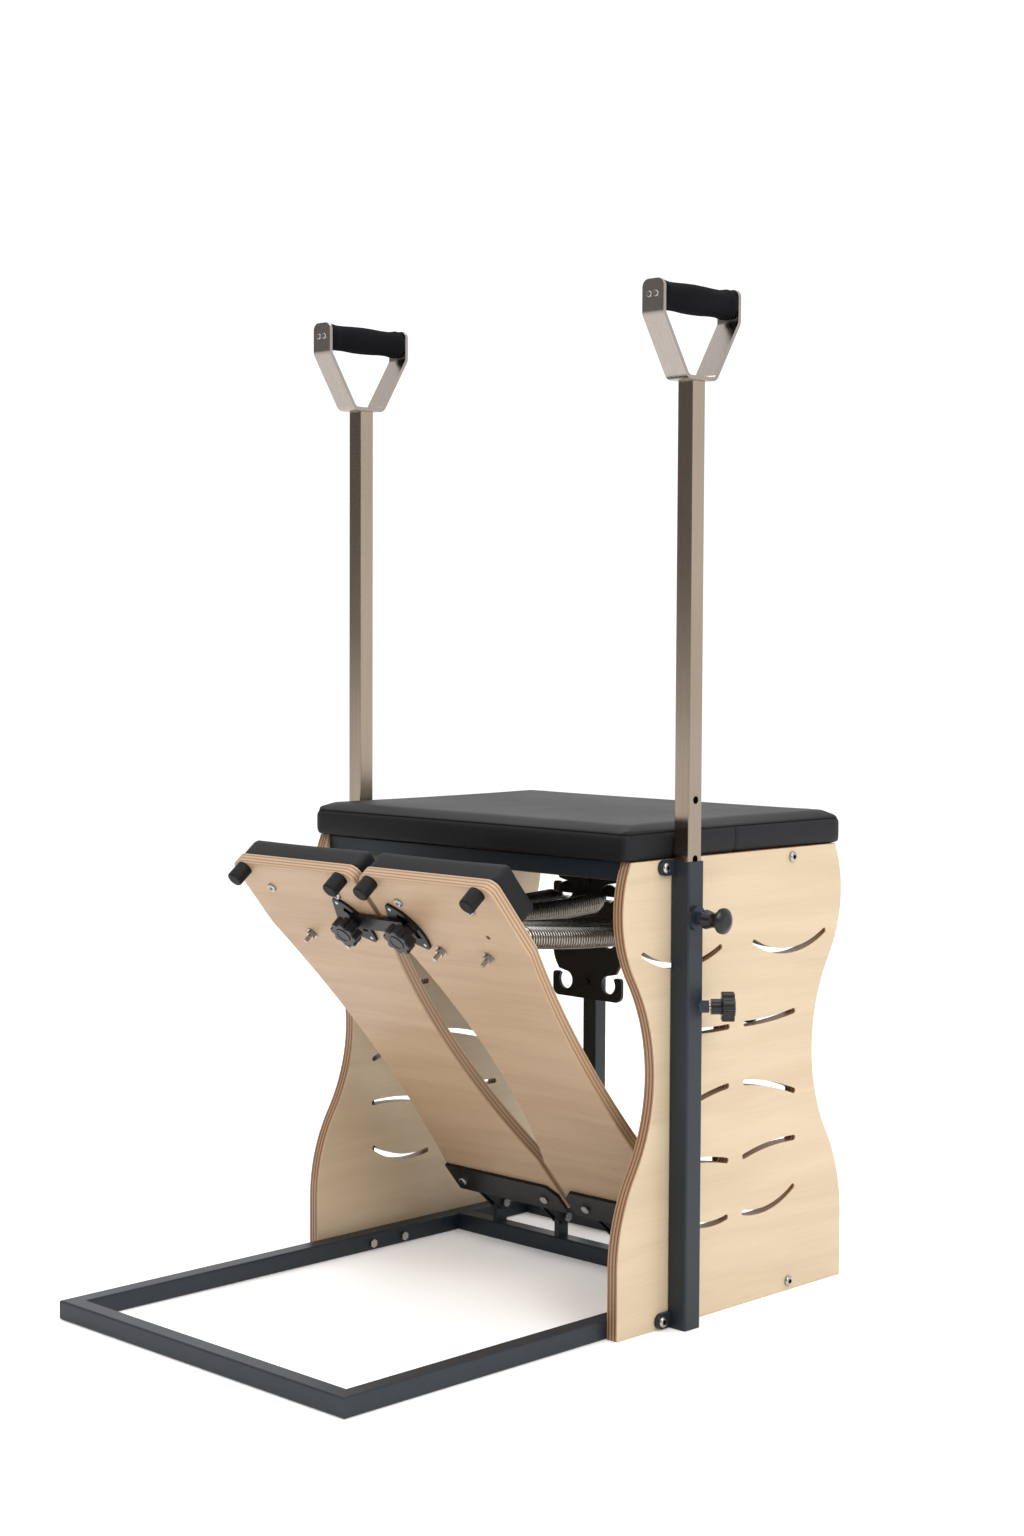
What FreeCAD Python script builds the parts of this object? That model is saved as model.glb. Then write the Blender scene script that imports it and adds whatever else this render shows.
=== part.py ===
import FreeCAD, Part
import math
import os

from FreeCAD import Vector

# Pilates chair with a split pedal, sprung from two hook plates, and two handle poles. Millimetres, +Z up.
# The origin is on the floor, in the middle of the overall width and depth. The pedals face -Y.

# Overall sizes and square tube
overall_depth = 901.0
tube_size = 25.0
tube_wall = 2.0
tube_corner = 2.5
cut_overrun = 1.0
running_clearance = 0.05
gap_clearance = 0.3
bolt_clearance = 0.2

# Side panels
panel_gap = 556.0
panel_thickness = 18.0
panel_height = 603.0
panel_foot_depth = 462.0
panel_bulge_depth = 449.0
panel_waist_depth = 326.0
panel_waist_height = 327.0
panel_foot_radius = 230.0
panel_waist_radius = 230.0
panel_bulge_radius = 160.0
plywood_edge_round = 1.5
slot_width = 7.5
# Each wave slot is an arc through three points: shares of the panel's depth there and of its height.
bulge_slot_shares = [
    ((0.078, 0.799), (0.245, 0.770), (0.415, 0.804)),
]
waist_slot_shares = [
    ((0.055, 0.622), (0.211, 0.623), (0.371, 0.632)),
    ((0.055, 0.492), (0.221, 0.477), (0.377, 0.451)),
    ((0.055, 0.328), (0.208, 0.342), (0.380, 0.344)),
    ((0.055, 0.203), (0.215, 0.200), (0.377, 0.234)),
]

# Base, measured back from the middle of the panels
crossbar_back = 36.5
rear_bar_back = 182.5
upper_bar_inset = 29.0
pivot_height = 54.0
lug_thickness = 8.0
lug_radius = 10.0
lug_inner_x = 54.0
lug_outer_x = 178.0

# Panel bolts
bolt_radius = 4.0
bolt_head_radius = 7.0
bolt_head_height = 4.5
bolt_dome_share = 0.6
bolt_nut_radius = 6.5
bolt_nut_height = 6.0
rear_bolt_back = 114.0

# Seat
seat_overhang_side = 4.0
seat_front_inset = 0.5
seat_back_inset = 6.5
seat_side_height = 34.0
seat_crown = 12.0
seat_corner_radius = 26.0
seat_draw_in = 4.5
seat_board_thickness = 15.0
seat_board_inset = 12.0
# Height share of the side or the crown, and inset share of the crown's slope, from the bottom seam up
seat_side_shares = ((0.0, 1.0), (0.5, 0.0), (1.0, 0.3))
seat_crown_shares = ((0.45, 0.12), (0.80, 0.38), (1.0, 0.80))
seat_side_pull = 2.0
seat_crown_run = 190.0

# Pole sockets
socket_size = 30.0
socket_wall = 2.0
socket_corner = 3.0
socket_height = 601.0
socket_front = 120.0
tab_thickness = 5.0
tab_radius = 10.0
tab_bolt_reach = 30.5
tab_low_height = 11.0
tab_high_height = 593.0
clamp_height = 414.5
clamp_nut_flats = 15.0
clamp_nut_length = 7.5

# Poles and their index holes
pole_size = 25.0
pole_wall = 1.5
pole_corner = 2.0
pole_bottom = 310.0
pole_top = 1206.0
index_height = 529.0
index_spacing = 75.0
index_holes_below = 1
index_holes_above = 2
index_hole_radius = 5.0

# V brackets and grips
bracket_width = 35.0
bracket_thickness = 5.0
bracket_span = 150.0
bracket_flat = 55.0
bracket_bend_height = 77.0
bracket_height = 120.0
bracket_corner = 10.0
bracket_bend_radius = 13.0
grip_height = 101.0
grip_core_radius = 11.0
grip_radius = 19.0
grip_waist_radius = 17.5
grip_end_radius = 20.0
grip_end_length = 12.0
grip_screw_radius = 2.5
grip_screw_head_radius = 4.0
grip_screw_head_height = 1.8
grip_screw_depth = 10.0
grip_screw_spacing = 11.0

# Pull pins
pin_radius = 4.8
pin_travel = 8.0
pin_flange_radius = 15.5
pin_flange_thickness = 4.0
pin_sleeve_radius = 8.0
pin_sleeve_length = 16.0
pin_tip_clearance = 0.5
pin_knob_start = 13.0
pin_knob_length = 34.0
pin_knob_neck_radius = 12.5
pin_knob_waist_radius = 9.5
pin_knob_neck_share = 0.45
pin_knob_radius = 16.5
pin_knob_rim = 8.0
pin_knob_dome = 5.0
pin_knob_crown_radius = 7.0
pin_knob_pocket = 16.0

# Clamp screws and star knobs
clamp_screw_radius = 4.0
clamp_screw_gap = 2.5
clamp_hub_radius = 10.0
clamp_hub_length = 13.5
clamp_head_radius = 19.5
clamp_head_length = 16.5
clamp_scallops = 8
scallop_radius = 5.0
scallop_reach = 1.4
knob_lobe_round = 2.0
knob_edge_round = 1.6

# Hook plates and their posts
tree_x = 126.0
hook_plate_thickness = 5.0
hook_plate_half_width = 69.0
hook_plate_bottom = 346.0
hook_plate_top = 548.0
hook_plate_corner = 12.0
hook_seat_height = 357.0
hook_spacing = 68.0
hook_levels = 3
hook_reach = 43.0
hook_pocket_radius = 13.5
hook_tip_height = 25.0
hook_mouth_low = 30.0
hook_mouth_high = 48.0
hook_mouth_x = 57.0
hook_tip_round = 5.0
hook_lobe_round = 50.0
plate_screw_radius = 3.0
plate_screw_head_radius = 6.0
plate_screw_head_height = 3.0

# Pedals: reaches are measured along the board from the pivot, widths from the middle of the chair
pedal_tilt = 50.45
pedal_drop = 11.4
pedal_thickness = 18.0
pedal_low_end = 40.0
pedal_high_end = 692.0
pedal_inner_x = 6.0
pedal_outer_x = 246.0
pedal_low_outer_x = 228.0
pedal_outer_waist_x = 209.0
pedal_outer_waist_reach = 333.0
pedal_shoulder_reach = 578.0
pedal_low_reach = 83.0
pedal_inner_waist_x = 40.0
pedal_gap_high_reach = 583.0
pedal_gap_low_reach = 143.0
pedal_corner = 14.0
pad_low_reach = 611.0
pad_edge = 2.0
pad_thickness = 28.0
pad_corner_radius = 9.0
pad_draw_in = 1.5
pad_bevel = 14.0
# Height share of the pad, and inset share of its bevel
pad_shares = ((0.0, 0.10), (0.22, 0.0), (0.62, 0.06), (0.88, 0.40), (1.0, 1.0))
bumper_radius = 11.0
bumper_length = 25.0
bumper_round = 2.5
bumper_end_inset = 9.0
bumper_inner_x = 29.0
bumper_outer_x = 222.0
pad_bolt_reach = 650.0
pad_bolt_inner_x = 59.0
pad_bolt_outer_x = 190.0
pad_bolt_radius = 3.0
pad_bolt_head_radius = 6.5
pad_bolt_head_height = 3.5
pad_bolt_depth = 14.0
spare_hole_x = 190.0
spare_hole_reach = 604.0
spare_hole_radius = 3.5

# Hinge plates
hinge_thickness = 5.0
hinge_low_reach = 35.0
hinge_high_reach = 86.0
hinge_inner_x = 8.0
hinge_outer_x = 226.0
hinge_chamfer = 15.0
hinge_bolt_reach = 58.0
hinge_bolt_inner_x = 40.0
hinge_bolt_outer_x = 204.0
ear_thickness = 5.0
ear_radius = 11.0
ear_side_gap = 0.5
pivot_head_radius = 7.0
pivot_head_height = 5.0

# Eye bolts
eye_reach = 567.0
eye_ring_radius = 10.0
eye_wire_radius = 3.0
eye_ring_lift = 13.5
eye_nut_radius = 6.0
eye_nut_height = 5.5
eye_washer_radius = 8.0
eye_washer_height = 1.6
eye_end_length = 10.0

# Pedal lock
lock_plate_thickness = 4.0
lock_plate_radius = 61.0
lock_plate_turn = -22.0
lock_plate_reach = 591.0
lock_left_x = -92.0
lock_right_x = 10.0
lock_corner_round = 5.0
lock_slot_radius = 50.0
lock_slot_width = 8.8
lock_slot_spread = 25.0
lock_screw_radius = 2.5
lock_screw_inset = 7.0
lock_stud_radius = 4.0
lock_bar_thickness = 5.0
lock_bar_width = 22.0
lock_bar_slot_clearance = 0.9
lock_bar_gap = 0.2
lock_hub_radius = 9.0
lock_hub_length = 9.0
lock_head_radius = 21.0
lock_head_length = 16.0
lock_scallops = 8
lock_stud_depth = 10.0
lock_stud_end = 7.0

# Springs
spring_wire_radius = 1.75
spring_radius = 13.25
spring_end_radius = 4.3
spring_turns = 22
spring_cone_turns = 1.5
spring_front_hook = 16.0
spring_rear_hook = 15.0
hook_wire_radius = 2.0
hook_bend_radius = 4.0
hook_tail = 7.0
hook_bead_radius = 5.5
hook_bead_length = 3.0
hook_inner_length = 12.0
hook_seat_clearance = 0.5
gap_samples_per_turn = 24

# Places that follow from the sizes above
panel_middle_y = overall_depth / 2 - panel_foot_depth / 2
base_front_y = -overall_depth / 2
panel_inner_x = panel_gap / 2
panel_outer_x = panel_inner_x + panel_thickness
rail_inner_x = panel_inner_x - tube_size
pivot_y = panel_middle_y + crossbar_back
rear_bar_y = panel_middle_y + rear_bar_back
upper_front_y = panel_middle_y - panel_bulge_depth / 2 + upper_bar_inset
upper_tube_z = panel_height - tube_size / 2
base_tube_z = tube_size / 2
socket_x = panel_outer_x + socket_size / 2
socket_y = panel_middle_y - socket_front
socket_face_x = panel_outer_x + socket_size
pole_corner_reach = pole_size / math.sqrt(2) - pole_corner * (math.sqrt(2) - 1)
clamp_nut_reach = socket_size / math.sqrt(2) + clamp_nut_length
hook_plate_y = rear_bar_y - tube_size / 2 - hook_plate_thickness
hook_wire_z = hook_seat_height + (hook_levels - 1) * hook_spacing + hook_wire_radius + hook_seat_clearance
pedal_top_z = pedal_thickness - pedal_drop
bumper_reach = pedal_high_end - bumper_end_inset
eye_segment_z = pedal_top_z + eye_ring_lift + eye_ring_radius
eye_hook_radius = eye_wire_radius + hook_wire_radius + gap_clearance
lock_face_z = -pedal_drop - lock_plate_thickness
lock_bar_top_z = lock_face_z - lock_bar_gap
lock_knob_z = lock_bar_top_z - lock_bar_thickness - lock_bar_gap
sides = {"left": -1, "right": 1}


def save(name, *shapes):
    """Writes one node: a single solid, or a group of separate solids."""
    solids = [solid for shape in shapes for solid in shape.Solids]
    whole = solids[0] if len(solids) == 1 else Part.makeCompound(solids)
    whole.exportStep(os.path.join("parts", name + ".step"))


def block(x0, x1, y0, y1, z0, z1):
    """A box between two corners, whichever way round each pair is."""
    low = Vector(min(x0, x1), min(y0, y1), min(z0, z1))
    return Part.makeBox(abs(x1 - x0), abs(y1 - y0), abs(z1 - z0), low)


def rod(start, end, radius):
    """A cylinder from one point to another."""
    line = end - start
    return Part.makeCylinder(radius, line.Length, start, line)


def hexagon(start, end, corner_radius):
    """A hexagonal prism from one point to another."""
    line = end - start
    turn = FreeCAD.Rotation(Vector(0, 0, 1), line)
    corners = []
    for step in range(7):
        angle = math.radians(60 * step)
        corner = Vector(corner_radius * math.cos(angle), corner_radius * math.sin(angle), 0)
        corners.append(start + turn.multVec(corner))
    return Part.Face(Part.makePolygon(corners)).extrude(line)


def button_bolt(seat, inward, radius, head_radius, head_height, length):
    """A round-headed bolt whose head stands on seat and whose shank runs inward."""
    way = Vector(inward).normalize()
    head = Part.makeCylinder(head_radius, head_height, seat - way * head_height, way)
    outer_edge = [edge for edge in head.Edges if is_rim(edge, seat - way * head_height, way)]
    head = head.makeFillet(head_height * bolt_dome_share, outer_edge)
    return head.fuse(rod(seat, seat + way * length, radius)).removeSplitter()


def is_rim(edge, point, way):
    """True for a round edge that lies in the plane through point, square to way."""
    if edge.Curve.TypeId != "Part::GeomCircle":
        return False
    return abs((edge.Curve.Center - point).dot(way)) < gap_clearance / 2


def arc_edge(centre, start, end):
    """The shorter arc about centre from start to end."""
    radius = (start - centre).Length
    middle = centre + ((start - centre) + (end - centre)).normalize() * radius
    return Part.Arc(start, middle, end).toShape()


def line_edge(start, end):
    """A straight edge."""
    return Part.LineSegment(start, end).toShape()


def rounded_square(size, corner, origin, across, along):
    """A closed wire: a square of rounded corners about origin, in the plane of two unit vectors."""
    flat = size / 2 - corner
    half = size / 2
    edges = []
    signs = ((1, 1), (-1, 1), (-1, -1), (1, -1))
    ends = []
    for a, b in signs:
        middle = origin + across * (a * flat) + along * (b * flat)
        side = origin + across * (a * half) + along * (b * flat)
        top = origin + across * (a * flat) + along * (b * half)
        pair = (side, top) if a * b > 0 else (top, side)
        edges.append((middle, pair))
        ends.append(pair)
    wire = []
    for index, (middle, pair) in enumerate(edges):
        wire.append(arc_edge(middle, pair[0], pair[1]))
        wire.append(line_edge(pair[1], ends[(index + 1) % len(ends)][0]))
    return Part.Wire(Part.__sortEdges__(wire))


def square_tube(start, end, size, wall, corner):
    """A hollow square tube from one point to another, with open ends."""
    line = end - start
    way = Vector(line).normalize()
    across = Vector(1, 0, 0) if abs(way.x) < abs(way.y) + abs(way.z) else Vector(0, 1, 0)
    along = way.cross(across)
    outer = Part.Face(rounded_square(size, corner, start, across, along)).extrude(line)
    inner_corner = max(corner - wall, corner / 4)
    start_inner = start - way * cut_overrun
    inner = rounded_square(size - 2 * wall, inner_corner, start_inner, across, along)
    return outer.cut(Part.Face(inner).extrude(line + way * (2 * cut_overrun)))


def soften(shape, radius, wanted):
    """Rounds the edges that wanted() picks."""
    return shape.makeFillet(radius, [edge for edge in shape.Edges if wanted(edge)])


def mirror_x(shape):
    """The same shape on the other side of the chair."""
    return shape.mirror(Vector(0, 0, 0), Vector(1, 0, 0))


def on_side(side, shape):
    """A right-hand shape as it stands on that side."""
    return shape if side > 0 else mirror_x(shape)


def panel_half(sign):
    """The panel's side outline from the foot up, as edges, at its inner face."""
    def at(y, z):
        return Vector(panel_inner_x, panel_middle_y + sign * y, z)

    foot = panel_foot_depth / 2
    waist = panel_waist_depth / 2 + panel_waist_radius
    bulge = panel_bulge_depth / 2 - panel_bulge_radius
    foot_centre_y = foot - panel_foot_radius
    low_reach = panel_waist_radius + panel_foot_radius
    high_reach = panel_waist_radius + panel_bulge_radius
    foot_z = panel_waist_height - math.sqrt(low_reach ** 2 - (waist - foot_centre_y) ** 2)
    bulge_z = panel_waist_height + math.sqrt(high_reach ** 2 - (waist - bulge) ** 2)
    top_y = bulge + math.sqrt(panel_bulge_radius ** 2 - (panel_height - bulge_z) ** 2)
    foot_centre = at(foot_centre_y, foot_z)
    waist_centre = at(waist, panel_waist_height)
    bulge_centre = at(bulge, bulge_z)
    low_meet = foot_centre + (waist_centre - foot_centre) * (panel_foot_radius / low_reach)
    high_meet = bulge_centre + (waist_centre - bulge_centre) * (panel_bulge_radius / high_reach)
    return [
        line_edge(at(foot, 0), at(foot, foot_z)),
        arc_edge(foot_centre, at(foot, foot_z), low_meet),
        arc_edge(waist_centre, low_meet, high_meet),
        arc_edge(bulge_centre, high_meet, at(top_y, panel_height)),
    ], at(foot, 0), at(top_y, panel_height)


def circle_centre(a, b, c):
    """Centre of the circle through three points."""
    return Part.Arc(a, b, c).toShape().Curve.Center


def wave_slot(shares, depth, sign):
    """One wave slot's cutter: an arc of even width with round ends, through the panel."""
    points = []
    for across_share, up_share in shares:
        y = panel_middle_y + sign * across_share * depth
        points.append(Vector(panel_inner_x - cut_overrun, y, up_share * panel_height))
    centre = circle_centre(*points)
    half = slot_width / 2
    spokes = [(point - centre).normalize() for point in points]
    radius = (points[0] - centre).Length
    outer = [centre + spoke * (radius + half) for spoke in spokes]
    inner = [centre + spoke * (radius - half) for spoke in spokes]
    caps = []
    for end, other in ((0, 1), (2, 1)):
        away = points[end] - points[other]
        away = (away - spokes[end] * away.dot(spokes[end])).normalize()
        caps.append(Part.Arc(outer[end], points[end] + away * half, inner[end]).toShape())
    edges = [Part.Arc(*outer).toShape(), Part.Arc(*inner).toShape()] + caps
    wire = Part.Wire(Part.__sortEdges__(edges))
    return Part.Face(wire).extrude(Vector(panel_thickness + 2 * cut_overrun, 0, 0))


def tab_bolt_places():
    """Where the socket's tabs are bolted: distance along Y and height."""
    heights = (tab_low_height, tab_high_height)
    return [(socket_y + sign * tab_bolt_reach, z) for sign in (-1, 1) for z in heights]


def rear_bolt_places():
    """Where the panel's rear edge is bolted to the rails."""
    return [(panel_middle_y + rear_bolt_back, z) for z in (base_tube_z, upper_tube_z)]


def bolt_cutter(y, z, x0, x1):
    """A clearance hole along X."""
    return rod(Vector(x0, y, z), Vector(x1, y, z), bolt_radius + bolt_clearance)


def side_panel():
    """The right plywood side, with rounded edges, wave slots and bolt holes."""
    front, front_foot, front_top = panel_half(-1)
    back, back_foot, back_top = panel_half(1)
    edges = front + back + [line_edge(front_foot, back_foot), line_edge(front_top, back_top)]
    wire = Part.Wire(Part.__sortEdges__(edges))
    panel = Part.Face(wire).extrude(Vector(panel_thickness, 0, 0))

    def upright_rim(edge):
        box = edge.BoundBox
        return box.XLength < gap_clearance and box.ZMax > gap_clearance

    panel = soften(panel, plywood_edge_round, upright_rim)
    rows = [(shares, panel_bulge_depth) for shares in bulge_slot_shares]
    rows += [(shares, panel_waist_depth) for shares in waist_slot_shares]
    for shares, depth in rows:
        for sign in (-1, 1):
            panel = panel.cut(wave_slot(shares, depth, sign))
    for y, z in tab_bolt_places() + rear_bolt_places():
        panel = panel.cut(bolt_cutter(y, z, panel_inner_x - cut_overrun, panel_outer_x + cut_overrun))
    return panel


def corner_wedge(sign):
    """Cuts a tube's end at 45 degrees where the front bar meets a rail; sign picks the piece kept."""
    reach = 4 * tube_size
    corner = Vector(panel_inner_x, base_front_y, -cut_overrun)
    inward = Vector(-1, 1, 0).normalize()
    square_off = Vector(1, 1, 0).normalize() * sign
    a = corner - inward * reach
    b = corner + inward * reach
    points = [a, b, b + square_off * reach, a + square_off * reach, a]
    lift = Vector(0, 0, tube_size + 2 * cut_overrun)
    return Part.Face(Part.makePolygon(points)).extrude(lift)


def base_rail():
    """The right base rail, mitred at the front, with bolt holes into the panel."""
    x = panel_inner_x - tube_size / 2
    start = Vector(x, base_front_y, base_tube_z)
    end = Vector(x, rear_bar_y + tube_size / 2, base_tube_z)
    rail = square_tube(start, end, tube_size, tube_wall, tube_corner).cut(corner_wedge(-1))
    low_bolts = [place for place in tab_bolt_places() + rear_bolt_places() if place[1] < panel_height / 2]
    for y, z in low_bolts:
        rail = rail.cut(bolt_cutter(y, z, rail_inner_x - cut_overrun, panel_inner_x + cut_overrun))
    return rail


def front_bar():
    """The front floor bar, mitred at both ends."""
    y = base_front_y + tube_size / 2
    start = Vector(-panel_inner_x, y, base_tube_z)
    end = Vector(panel_inner_x, y, base_tube_z)
    bar = square_tube(start, end, tube_size, tube_wall, tube_corner)
    wedge = corner_wedge(1)
    return bar.cut(wedge).cut(mirror_x(wedge))


def cross_tube(y, z, half_length):
    """A square tube across the chair."""
    start = Vector(-half_length, y, z)
    end = Vector(half_length, y, z)
    return square_tube(start, end, tube_size, tube_wall, tube_corner)


def pivot_lug(x):
    """A plate that stands on the crossbar and carries a pedal's pivot bolt."""
    x0 = x - lug_thickness / 2
    x1 = x + lug_thickness / 2
    stem = block(x0, x1, pivot_y - lug_radius, pivot_y + lug_radius, tube_size - tube_wall, pivot_height)
    start = Vector(x0, pivot_y, pivot_height)
    end = Vector(x1, pivot_y, pivot_height)
    eye = rod(start, end, lug_radius)
    over = Vector(cut_overrun, 0, 0)
    hole = rod(start - over, end + over, bolt_radius + running_clearance)
    return stem.fuse(eye).cut(hole)


def lug_places():
    """X of the four lugs."""
    return [side * x for side in sides.values() for x in (lug_inner_x, lug_outer_x)]


def pivot_crossbar():
    """The crossbar with its four welded lugs, one piece."""
    bar = cross_tube(pivot_y, base_tube_z, rail_inner_x)
    for x in lug_places():
        bar = bar.fuse(pivot_lug(x))
    return bar.removeSplitter()


def pivot_bolts():
    """A headed bolt and a nut at each lug, through both ears."""
    pieces = []
    half = lug_thickness / 2 + ear_side_gap + ear_thickness + gap_clearance
    for x in lug_places():
        outward = math.copysign(1, x)
        head_seat = Vector(x + outward * half, pivot_y, pivot_height)
        tail_seat = Vector(x - outward * half, pivot_y, pivot_height)
        way = Vector(outward, 0, 0)
        head = hexagon(head_seat, head_seat + way * pivot_head_height, pivot_head_radius)
        shank = rod(tail_seat - way * pivot_head_height, head_seat + way * cut_overrun, bolt_radius)
        nut = hexagon(tail_seat - way * pivot_head_height, tail_seat, pivot_head_radius)
        pieces.append(head.fuse(shank).fuse(nut).removeSplitter())
    return pieces


def upper_rail():
    """The right rail under the seat, inside the panel."""
    x = panel_inner_x - tube_size / 2
    start = Vector(x, upper_front_y + tube_size / 2, upper_tube_z)
    end = Vector(x, rear_bar_y - tube_size / 2, upper_tube_z)
    rail = square_tube(start, end, tube_size, tube_wall, tube_corner)
    high_bolts = [place for place in tab_bolt_places() + rear_bolt_places() if place[1] > panel_height / 2]
    for y, z in high_bolts:
        rail = rail.cut(bolt_cutter(y, z, rail_inner_x - cut_overrun, panel_inner_x + cut_overrun))
    return rail


def panel_bolts():
    """Every bolt through the panels, with its nut inside the rail."""
    pieces = []
    places = [(y, z, panel_outer_x + tab_thickness) for y, z in tab_bolt_places()]
    places += [(y, z, panel_outer_x) for y, z in rear_bolt_places()]
    for y, z, seat_x in places:
        length = seat_x - rail_inner_x + bolt_nut_height
        bolt = button_bolt(Vector(seat_x, y, z), Vector(-1, 0, 0), bolt_radius, bolt_head_radius,
                           bolt_head_height, length)
        nut_end = Vector(rail_inner_x - bolt_nut_height, y, z)
        nut_face = Vector(rail_inner_x, y, z)
        over = Vector(cut_overrun, 0, 0)
        nut = hexagon(nut_end, nut_face, bolt_nut_radius)
        nut = nut.cut(rod(nut_end - over, nut_face + over, bolt_radius))
        for piece in (bolt, nut):
            pieces += [piece, mirror_x(piece)]
    return pieces


def cushion_ring(x0, x1, y0, y1, z, inset, corner, draw_in):
    """A cushion's outline at one height: four sides drawn in between round corners."""
    left, right = x0 + inset, x1 - inset
    front, back = y0 + inset, y1 - inset
    r = corner
    d = draw_in
    xm, ym = (left + right) / 2, (front + back) / 2
    sides_points = [
        (Vector(left + r, front, z), Vector(xm, front + d, z), Vector(right - r, front, z)),
        (Vector(right, front + r, z), Vector(right - d, ym, z), Vector(right, back - r, z)),
        (Vector(right - r, back, z), Vector(xm, back - d, z), Vector(left + r, back, z)),
        (Vector(left, back - r, z), Vector(left + d, ym, z), Vector(left, front + r, z)),
    ]
    centres = [Vector(right - r, front + r, z), Vector(right - r, back - r, z),
               Vector(left + r, back - r, z), Vector(left + r, front + r, z)]
    edges = []
    for index, points in enumerate(sides_points):
        edges.append(Part.Arc(*points).toShape())
        edges.append(arc_edge(centres[index], points[2], sides_points[(index + 1) % 4][0]))
    return Part.Wire(edges)


def seat_sides():
    """The seat's outer edges: left, right, front and back."""
    half = panel_outer_x + seat_overhang_side
    depth = panel_bulge_depth / 2
    front = panel_middle_y - depth + seat_front_inset
    back = panel_middle_y + depth - seat_back_inset
    return -half, half, front, back


def seat_board():
    """The board that the seat cushion is built on."""
    x0, x1, y0, y1 = seat_sides()
    inset = seat_board_inset + seat_draw_in
    top = panel_height + seat_board_thickness
    return block(x0 + inset, x1 - inset, y0 + inset, y1 - inset, panel_height, top)


def seat_cushion():
    """The seat cushion: drawn-in sides, a crown, and a pocket for its board."""
    x0, x1, y0, y1 = seat_sides()
    levels = [(panel_height + up_share * seat_side_height, inset_share * seat_side_pull)
              for up_share, inset_share in seat_side_shares]
    levels += [(panel_height + seat_side_height + up_share * seat_crown, inset_share * seat_crown_run)
               for up_share, inset_share in seat_crown_shares]
    rings = [cushion_ring(x0, x1, y0, y1, z, inset, seat_corner_radius, seat_draw_in)
             for z, inset in levels]
    solid = Part.makeLoft(rings, True, True)
    inset = seat_board_inset + seat_draw_in - gap_clearance
    pocket = block(x0 + inset, x1 - inset, y0 + inset, y1 - inset, panel_height - cut_overrun,
                   panel_height + seat_board_thickness + gap_clearance)
    return solid.cut(pocket)


def clamp_way():
    """The right clamp's direction: out through the socket's outer rear corner."""
    return Vector(1, 1, 0).normalize()


def clamp_line(*reaches):
    """Points on the right clamp's axis, by their reach from the socket's middle."""
    middle = Vector(socket_x, socket_y, clamp_height)
    return [middle + clamp_way() * reach for reach in reaches]


def socket_inside():
    """The hollow of the right socket, where the pole slides."""
    size = socket_size - 2 * socket_wall
    foot = Vector(socket_x, socket_y, 0)
    outline = rounded_square(size, socket_corner - socket_wall, foot, Vector(1, 0, 0), Vector(0, 1, 0))
    return Part.Face(outline).extrude(Vector(0, 0, socket_height))


def socket():
    """The right pole socket with its four bolt tabs and the clamp's nut on its outer rear corner."""
    foot = Vector(socket_x, socket_y, 0)
    top = Vector(socket_x, socket_y, socket_height)
    body = square_tube(foot, top, socket_size, socket_wall, socket_corner)
    tab_x1 = panel_outer_x + tab_thickness
    for y, z in tab_bolt_places():
        inner_y = socket_y + math.copysign(socket_size / 2 - socket_wall, y - socket_y)
        plate = block(panel_outer_x, tab_x1, inner_y, y, z - tab_radius, z + tab_radius)
        end = rod(Vector(panel_outer_x, y, z), Vector(tab_x1, y, z), tab_radius)
        body = body.fuse(plate).fuse(end)
    bore_start, nut_start, nut_end = clamp_line(pole_corner_reach, socket_size / 2, clamp_nut_reach)
    nut = hexagon(nut_start, nut_end, clamp_nut_flats / math.sqrt(3))
    body = body.fuse(nut.cut(socket_inside())).removeSplitter()
    for y, z in tab_bolt_places():
        body = body.cut(bolt_cutter(y, z, panel_outer_x - cut_overrun, tab_x1 + cut_overrun))
    bore_end = nut_end + clamp_way() * cut_overrun
    body = body.cut(rod(bore_start, bore_end, clamp_screw_radius + running_clearance))
    return body.cut(rod(Vector(socket_x + pole_size / 2, socket_y, index_height),
                        Vector(socket_face_x + cut_overrun, socket_y, index_height), index_hole_radius))


def pole():
    """The right pole: a square tube with a row of index holes in its outer face."""
    bottom = Vector(socket_x, socket_y, pole_bottom)
    top = Vector(socket_x, socket_y, pole_top)
    body = square_tube(bottom, top, pole_size, pole_wall, pole_corner)
    for step in range(-index_holes_below, index_holes_above + 1):
        z = index_height + step * index_spacing
        body = body.cut(rod(Vector(socket_x, socket_y, z),
                            Vector(socket_x + pole_size, socket_y, z), index_hole_radius))
    return body


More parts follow.
